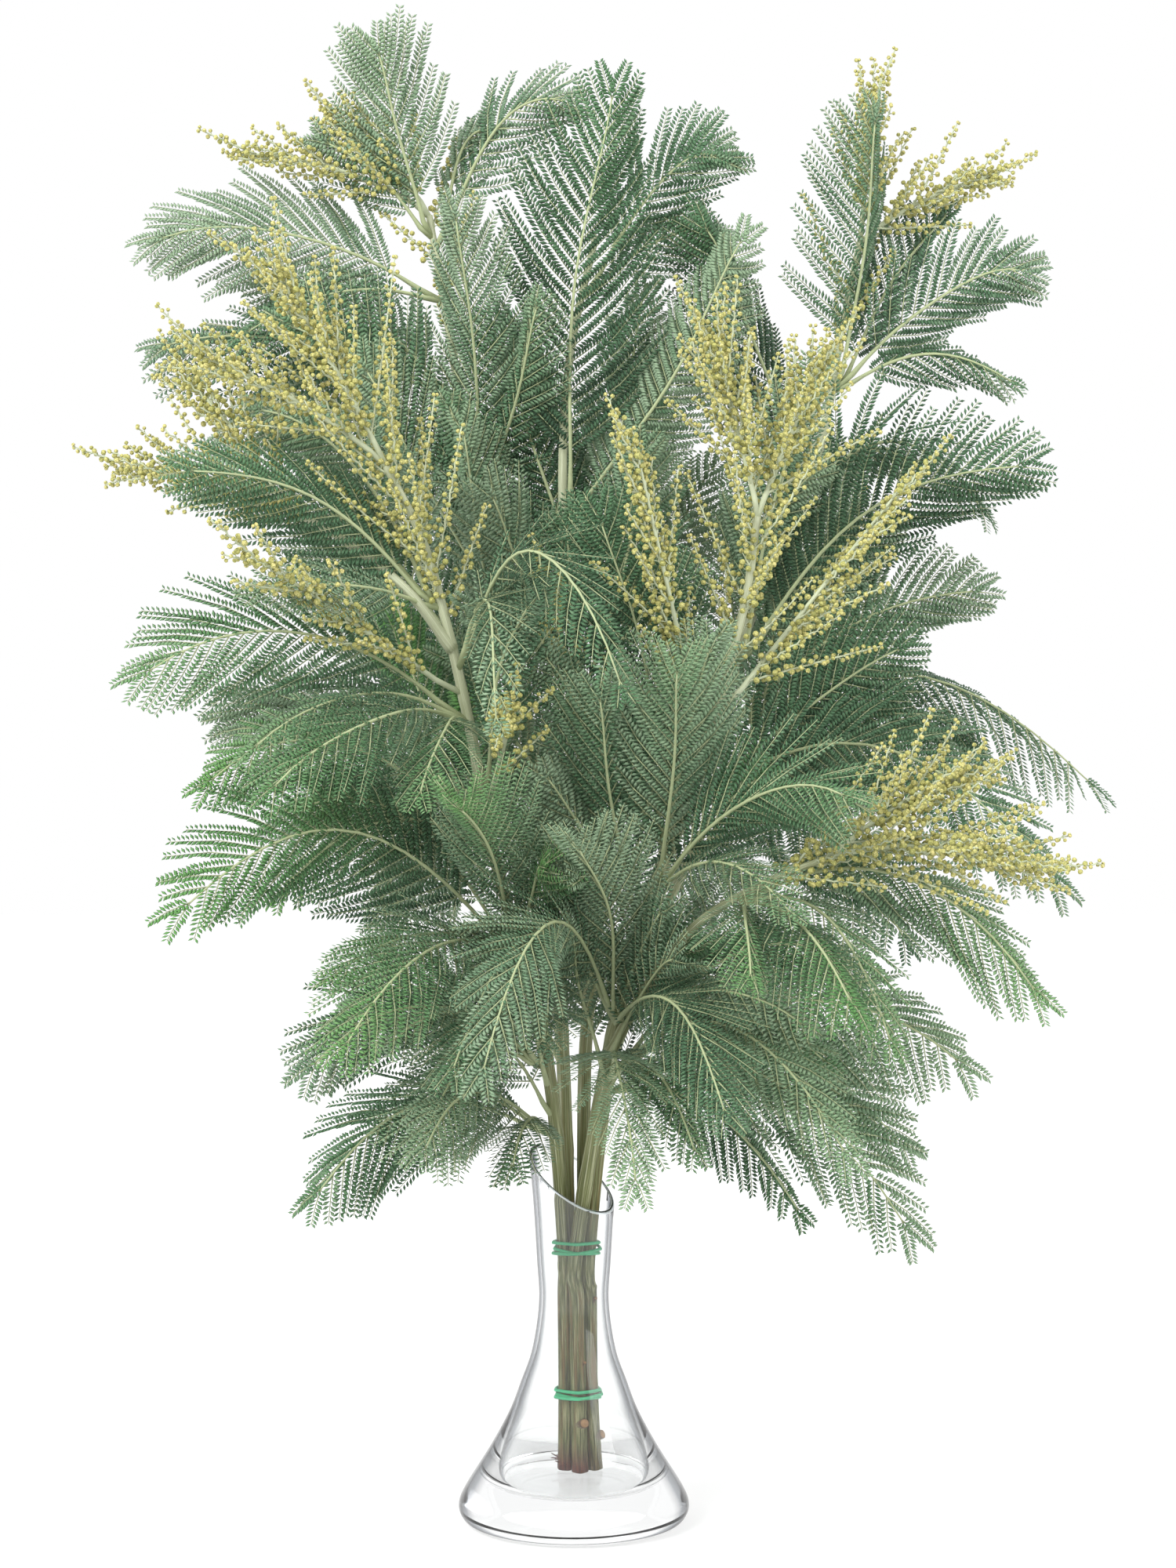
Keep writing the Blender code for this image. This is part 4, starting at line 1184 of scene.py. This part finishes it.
def build_fronds(settings):
    """Dresses each node of fronds, with a younger frond beside each and small ones in leaf axils."""
    materials = [rib_material(settings), leaflet_material(settings)]
    units = {"leaflet": leaflet_unit(), "stalk": stalk_unit(3)}
    for name, (stem_name, height, shapes) in FRONDS.items():
        tips = [place(shape[0]) for shape in shapes]
        knob = KNOB_SHARED if len(shapes) > 1 else KNOB_SINGLE
        root, seat = root_on(STEMS[stem_name], height, tips, knob)
        ribs = [Rib(root, tip, shape[2], shape[3]) for shape, tip in zip(shapes, tips)]
        corners = []
        for shape, rib in zip(shapes, ribs):
            corners += coarse_frond_points(rib, shape[1])
        aim = (sum(tips, Vector()) / len(tips) - root).normalized()
        pile = Pile(name + "_leaves", materials)
        rng = np.random.default_rng(sum(ord(letter) * k for k, letter in enumerate(name, 1)))
        growth = Growth(pile, units, settings, rng, root, turn_of(name, root, aim, corners))
        anchor = root + seat * (knob + GAP + ROOT_SINK) * MM
        for (_, longest, arch, face), rib in zip(shapes, ribs):
            fine_frond(growth, name, rib, longest, anchor)
            fine_frond(growth, name, young_rib(rib, arch, face, rng), longest * YOUNG_PINNA, anchor)
        for stem_name, height, tip, longest, arch, face in AXIL_FRONDS.get(name, []):
            small, seat = root_on(STEMS[stem_name], height, [place(tip)], 0)
            rib = Rib(small, place(tip), arch, face)
            fine_frond(growth.unturned(small), name, rib, longest, small + seat * MM)
        piece = pile.finish()
        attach(piece, "root")
        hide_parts(name)


def young_rib(rib, arch, face, rng):
    """The rib of a younger, shorter frond from the same bud, swung off to one side."""
    reach = rib.tip - rib.root
    swing = Quaternion(rib.frame(0.5)[2],
                       math.radians(rng.choice((-1, 1)) * rng.uniform(*YOUNG_SWING)))
    return Rib(rib.root, rib.root + swing @ reach * rng.uniform(*YOUNG_SHARE), arch * 0.7, face - 15)


def fine_frond(growth, name, rib, longest, anchor):
    """One frond: its rib sways a little, and its pinnae fold down to either side of it."""
    rng = growth.rng
    measure = (rib.tip - rib.root).length
    sway = rib.frame(0.5)[1] * rng.uniform(-1, 1) * measure * SWAY
    hang = UP * rng.uniform(0, 1) * measure * TIP_HANG

    def on_rib(t):
        return rib.at(t) + sway * math.sin(4.5 * t) * t - hang * t ** 3

    def thickness(along, around):
        swollen = 0.7 * math.exp(-((along - 0.03) / 0.05) ** 2)
        return (1.0 - 0.62 * along + swollen) * MM

    path = [anchor] + [growth.moved(on_rib(t)) for t in np.linspace(0, 1, 15)[1:]]
    growth.pile.tube(path, thickness, 6, 0)
    blade = BLADE_END - PETIOLE
    pairs = max(6, round(measure * blade / growth.settings.pinna_step))
    overall = rng.uniform(0.1, 0.8)
    fold = rng.uniform(*FOLD)
    droop = rng.uniform(*DROOP)
    curl = rng.uniform(*CURL)
    fresh = FRESH.get(name, rng.uniform(*LITTLE_FRESH))
    sweep = math.radians(rng.uniform(*SWEEP))
    for i in range(pairs):
        share = (i + 0.5) / pairs
        t = PETIOLE + blade * share
        ahead, side, normal = rib.frame(t)
        for way in (-1, 1):
            angle = pinna_angle(share) - sweep + rng.normal(0, 0.07)
            reach = (ahead * math.cos(angle) + side * way * math.sin(angle)
                     - normal * (fold + rng.normal(0, 0.09))).normalized()
            size = pinna_length(share, longest) * MM * rng.uniform(0.84, 1.05)
            tone = overall + 0.3 * share ** 3 + rng.normal(0, 0.1)
            bend = ahead * curl - normal * droop
            dress_pinna(growth, on_rib(t), reach, normal, size, tone, fresh * share ** 1.5, bend)
    for way in (-1, 1):
        ahead, side, normal = rib.frame(1)
        reach = (ahead * math.cos(0.35) + side * way * math.sin(0.35)).normalized()
        dress_pinna(growth, on_rib(1), reach, normal, pinna_length(1, longest) * MM, overall + 0.2,
                    fresh, -normal * droop)


def coarse_spray_points(axis, back, count, longest):
    """Where the solid spray has its axis and the tips of its racemes."""
    points = [axis.at(t / 5) for t in range(6)]
    for k in range(count):
        t, way, _ = raceme_way(axis, back, k / (count - 1), SPIRAL * k)
        points.append(axis.at(t) + way * longest * (1 - 0.5 * t) * MM)
    return points


def raceme_way(axis, back, share, around):
    """Where a raceme leaves the axis, its direction and a direction across it."""
    t = 0.12 + 0.84 * share
    ahead, side, normal = axis.frame(t)
    out = side * math.cos(around) + normal * math.sin(around)
    out -= back * 2 * max(out.dot(back), 0)
    lean = math.radians(38 - 20 * t)
    way = ahead * math.cos(lean) + out * math.sin(lean)
    return t, way.normalized(), way.cross(out).normalized()


def build_sprays(settings):
    """Dresses each node of sprays, with more racemes on the stem below a spray that ends it."""
    materials = [stalk_material(settings), bud_material(settings)]
    units = {"bud": bud_unit(), "stalk": stalk_unit(4)}
    for name, (stem_name, height, shapes) in SPRAYS.items():
        tips = [place(shape[0]) for shape in shapes]
        root, seat = root_on(STEMS[stem_name], height, tips, KNOB_SINGLE)
        axes = [Rib(root, tip, shape[1]) for shape, tip in zip(shapes, tips)]
        back = seat if height else Vector()
        corners = []
        for (_, _, count, longest), axis in zip(shapes, axes):
            corners += coarse_spray_points(axis, back, count, longest)
        aim = (sum(tips, Vector()) / len(tips) - root).normalized()
        pile = Pile(name + "_buds", materials)
        rng = random.Random(name)
        growth = Growth(pile, units, settings, rng, root, turn_of(name, root, aim, corners))
        anchor = root + seat * (KNOB_SINGLE + GAP + ROOT_SINK) * MM
        for (_, _, count, longest), axis in zip(shapes, axes):
            fine_axis(growth, axis, back, anchor, count, longest)
        if not height:
            line_stem(growth, stem_name, shapes[0][3])
        piece = pile.finish()
        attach(piece, "root")
        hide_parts(name)


def line_stem(growth, stem_name, longest):
    """Racemes from the leaf axils below a spray, pressed along the stem that carries it."""
    path = smooth_path(STEMS[stem_name].points, STEM_STATIONS)
    count, span = STEM_RACEMES.get(stem_name, FEW_RACEMES)
    for k in range(count):
        place_on = len(path) - 2 - span * k // count
        ahead = (path[place_on + 1] - path[place_on]).normalized()
        across = ahead.orthogonal().normalized()
        out = Quaternion(ahead, SPIRAL * k) @ across
        lean = math.radians(growth.rng.uniform(24, 40))
        way = ahead * math.cos(lean) + out * math.sin(lean)
        size = longest * growth.rng.uniform(0.7, 1.0) * MM
        fine_raceme(growth.unturned(path[place_on]), path[place_on], way,
                    way.cross(out).normalized(), size)


def fine_axis(growth, axis, back, anchor, count, longest):
    """One axis of a spray, with several racemes for each that the solid has."""
    path = [anchor] + [growth.moved(axis.at(t)) for t in np.linspace(0, 1, 13)[1:]]
    growth.pile.tube(path, lambda along, around: (1.35 - 0.8 * along) * MM, 8, 0)
    fine = RACEMES_EACH * (count - 1) + 1
    for k in range(fine):
        around = SPIRAL * (k // RACEMES_EACH) + 1.7 * (k % RACEMES_EACH)
        t, way, across = raceme_way(axis, back, k / (fine - 1), around)
        full = longest * (1 - 0.5 * t) * MM
        size = full * (1.06 if k % RACEMES_EACH == 0 else growth.rng.uniform(0.65, 1.0))
        fine_raceme(growth, axis.at(t), way, across, size)


def fine_raceme(growth, start, way, across, size):
    """A zigzag stalk with short-stalked buds at each of its bends."""
    settings, rng = growth.settings, growth.rng
    count = max(5, round(size / settings.bud_step))
    other = way.cross(across)
    points = [start]
    rise = rng.uniform(-0.05, 0.2)
    for k in range(count):
        t = (k + 1) / count
        zig = (1 if k % 2 else -1) * (0.75 - 0.3 * t) * MM
        points.append(start + way * size * t + across * zig + UP * rise * size * t * t)
    moved = [growth.moved(p) for p in points]
    growth.pile.tube(moved, lambda along, around: 0.6 * (1 - 0.45 * along) * MM, 5, 0)
    swing = rng.uniform(0, 6)
    origins, frames, tones = [], [], []
    sticks, stick_frames = [], []
    for k in [k for k in range(1, count + 1) for _ in range(BUDS_EACH)]:
        t = k / count
        swing += SPIRAL
        out = (across * math.cos(swing) + other * math.sin(swing)) * 0.8 + way * 0.6
        out = growth.turn @ out.normalized()
        reach = rng.uniform(1.7, 5.2) * MM * (1 - 0.55 * t)
        diameter = settings.bud * (1.06 - 0.4 * t) * rng.uniform(0.85, 1.1)
        if k == count:
            reach = rng.uniform(0.6, 1.6) * MM
        centre = moved[k] + out * reach
        side = out.orthogonal().normalized()
        up = out.cross(side)
        origins.append(tuple(centre))
        frames.append([tuple(out * diameter), tuple(side * diameter), tuple(up * diameter)])
        tones.append(min(max(rng.gauss(0.45 + 0.3 * t, 0.22), 0), 1))
        sticks.append(tuple(moved[k]))
        stick_frames.append([tuple(out * reach), tuple(side * BUD_STALK), tuple(up * BUD_STALK)])
    pile, units = growth.pile, growth.units
    pile.scatter(units["bud"], np.array(frames), np.array(origins), 1, np.array(tones))
    pile.scatter(units["stalk"], np.array(stick_frames), np.array(sticks), 0,
                 np.full(len(sticks), 0.5))


def area_light(name, where, size, watts):
    """A soft light that the glass doesn't mirror."""
    light = bpy.data.lights.new(name, "AREA")
    light.shape = "RECTANGLE"
    light.size, light.size_y = size
    light.energy = watts
    lamp = bpy.data.objects.new(name, light)
    bpy.context.scene.collection.objects.link(lamp)
    lamp.location = where
    lamp.visible_glossy = False
    lamp.rotation_euler = (LIT_POINT - Vector(where)).to_track_quat("-Z", "Y").to_euler()


def build_stage(settings):
    """The camera where the photograph was taken from, white paper, a white room and two lights."""
    camera = bpy.data.cameras.new("camera")
    camera.lens = settings.lens
    camera.sensor_width = 36
    camera.clip_end = 20
    seat = bpy.data.objects.new("camera", camera)
    bpy.context.scene.collection.objects.link(seat)
    seat.location = (settings.aside, -settings.distance, settings.height)
    seat.rotation_euler = (math.radians(90), 0, 0)
    bpy.context.scene.camera = seat

    shape = bmesh.new()
    bmesh.ops.create_grid(shape, x_segments=1, y_segments=1, size=6)
    mesh = bpy.data.meshes.new("studio_floor")
    shape.to_mesh(mesh)
    shape.free()
    mesh.materials.append(paper_material(settings))
    floor = bpy.data.objects.new("studio_floor", mesh)
    bpy.context.scene.collection.objects.link(floor)
    mesh.transform(Matrix.Translation((0, 0, -FLOOR_DROP * MM)))

    world = bpy.data.worlds.new("studio")
    world.use_nodes = True
    world.node_tree.nodes["Background"].inputs["Color"].default_value = WHITE
    world.node_tree.nodes["Background"].inputs["Strength"].default_value = 1.0
    bpy.context.scene.world = world
    bpy.context.scene.view_settings.view_transform = "Standard"
    for light in LIGHTS:
        area_light(*light)


class BuildVase(bpy.types.Operator):
    """Makes the clear glass vase with its slanting mouth"""
    bl_idname = "mimosa.vase"
    bl_label = "Glass Vase"

    def execute(self, context):
        build_vase(context.scene.mimosa_vase)
        return {"FINISHED"}


class BuildBands(bpy.types.Operator):
    """Makes the two green rubber bands round the stems"""
    bl_idname = "mimosa.bands"
    bl_label = "Rubber Bands"

    def execute(self, context):
        build_bands(context.scene.mimosa_bands)
        return {"FINISHED"}


class BuildStems(bpy.types.Operator):
    """Makes the ridged branches"""
    bl_idname = "mimosa.stems"
    bl_label = "Branches"

    def execute(self, context):
        build_stems(context.scene.mimosa_stems)
        return {"FINISHED"}


class BuildFronds(bpy.types.Operator):
    """Makes the feathery fronds, leaflet by leaflet"""
    bl_idname = "mimosa.fronds"
    bl_label = "Fronds"

    def execute(self, context):
        build_fronds(context.scene.mimosa_fronds)
        return {"FINISHED"}


class BuildSprays(bpy.types.Operator):
    """Makes the sprays of flower buds"""
    bl_idname = "mimosa.sprays"
    bl_label = "Flower Buds"

    def execute(self, context):
        build_sprays(context.scene.mimosa_sprays)
        return {"FINISHED"}


class BuildStage(bpy.types.Operator):
    """Sets the camera, the lights and the white floor"""
    bl_idname = "mimosa.stage"
    bl_label = "Stage"

    def execute(self, context):
        build_stage(context.scene.mimosa_stage)
        return {"FINISHED"}


class MimosaPanel(bpy.types.Panel):
    """Lists the pieces of the bunch"""
    bl_idname = "VIEW3D_PT_mimosa"
    bl_label = "Mimosa Bunch"
    bl_space_type = "VIEW_3D"
    bl_region_type = "UI"
    bl_category = "Mimosa"

    def draw(self, context):
        for operator in OPERATORS:
            self.layout.operator(operator.bl_idname)


SETTINGS = {
    "mimosa_vase": VaseSettings,
    "mimosa_bands": BandSettings,
    "mimosa_stems": StemSettings,
    "mimosa_fronds": FrondSettings,
    "mimosa_sprays": SpraySettings,
    "mimosa_stage": StageSettings,
}
OPERATORS = (BuildStage, BuildVase, BuildBands, BuildStems, BuildSprays, BuildFronds)


def register():
    for kind in (*SETTINGS.values(), *OPERATORS, MimosaPanel):
        bpy.utils.register_class(kind)
    for name, kind in SETTINGS.items():
        setattr(bpy.types.Scene, name, PointerProperty(type=kind))


def unregister():
    for name in SETTINGS:
        delattr(bpy.types.Scene, name)
    for kind in (MimosaPanel, *OPERATORS, *SETTINGS.values()):
        bpy.utils.unregister_class(kind)


def main():
    register()
    bpy.ops.mimosa.stage()
    bpy.ops.mimosa.vase()
    bpy.ops.mimosa.bands()
    bpy.ops.mimosa.stems()
    bpy.ops.mimosa.sprays()
    bpy.ops.mimosa.fronds()
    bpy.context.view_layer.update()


if __name__ == "__main__":
    main()
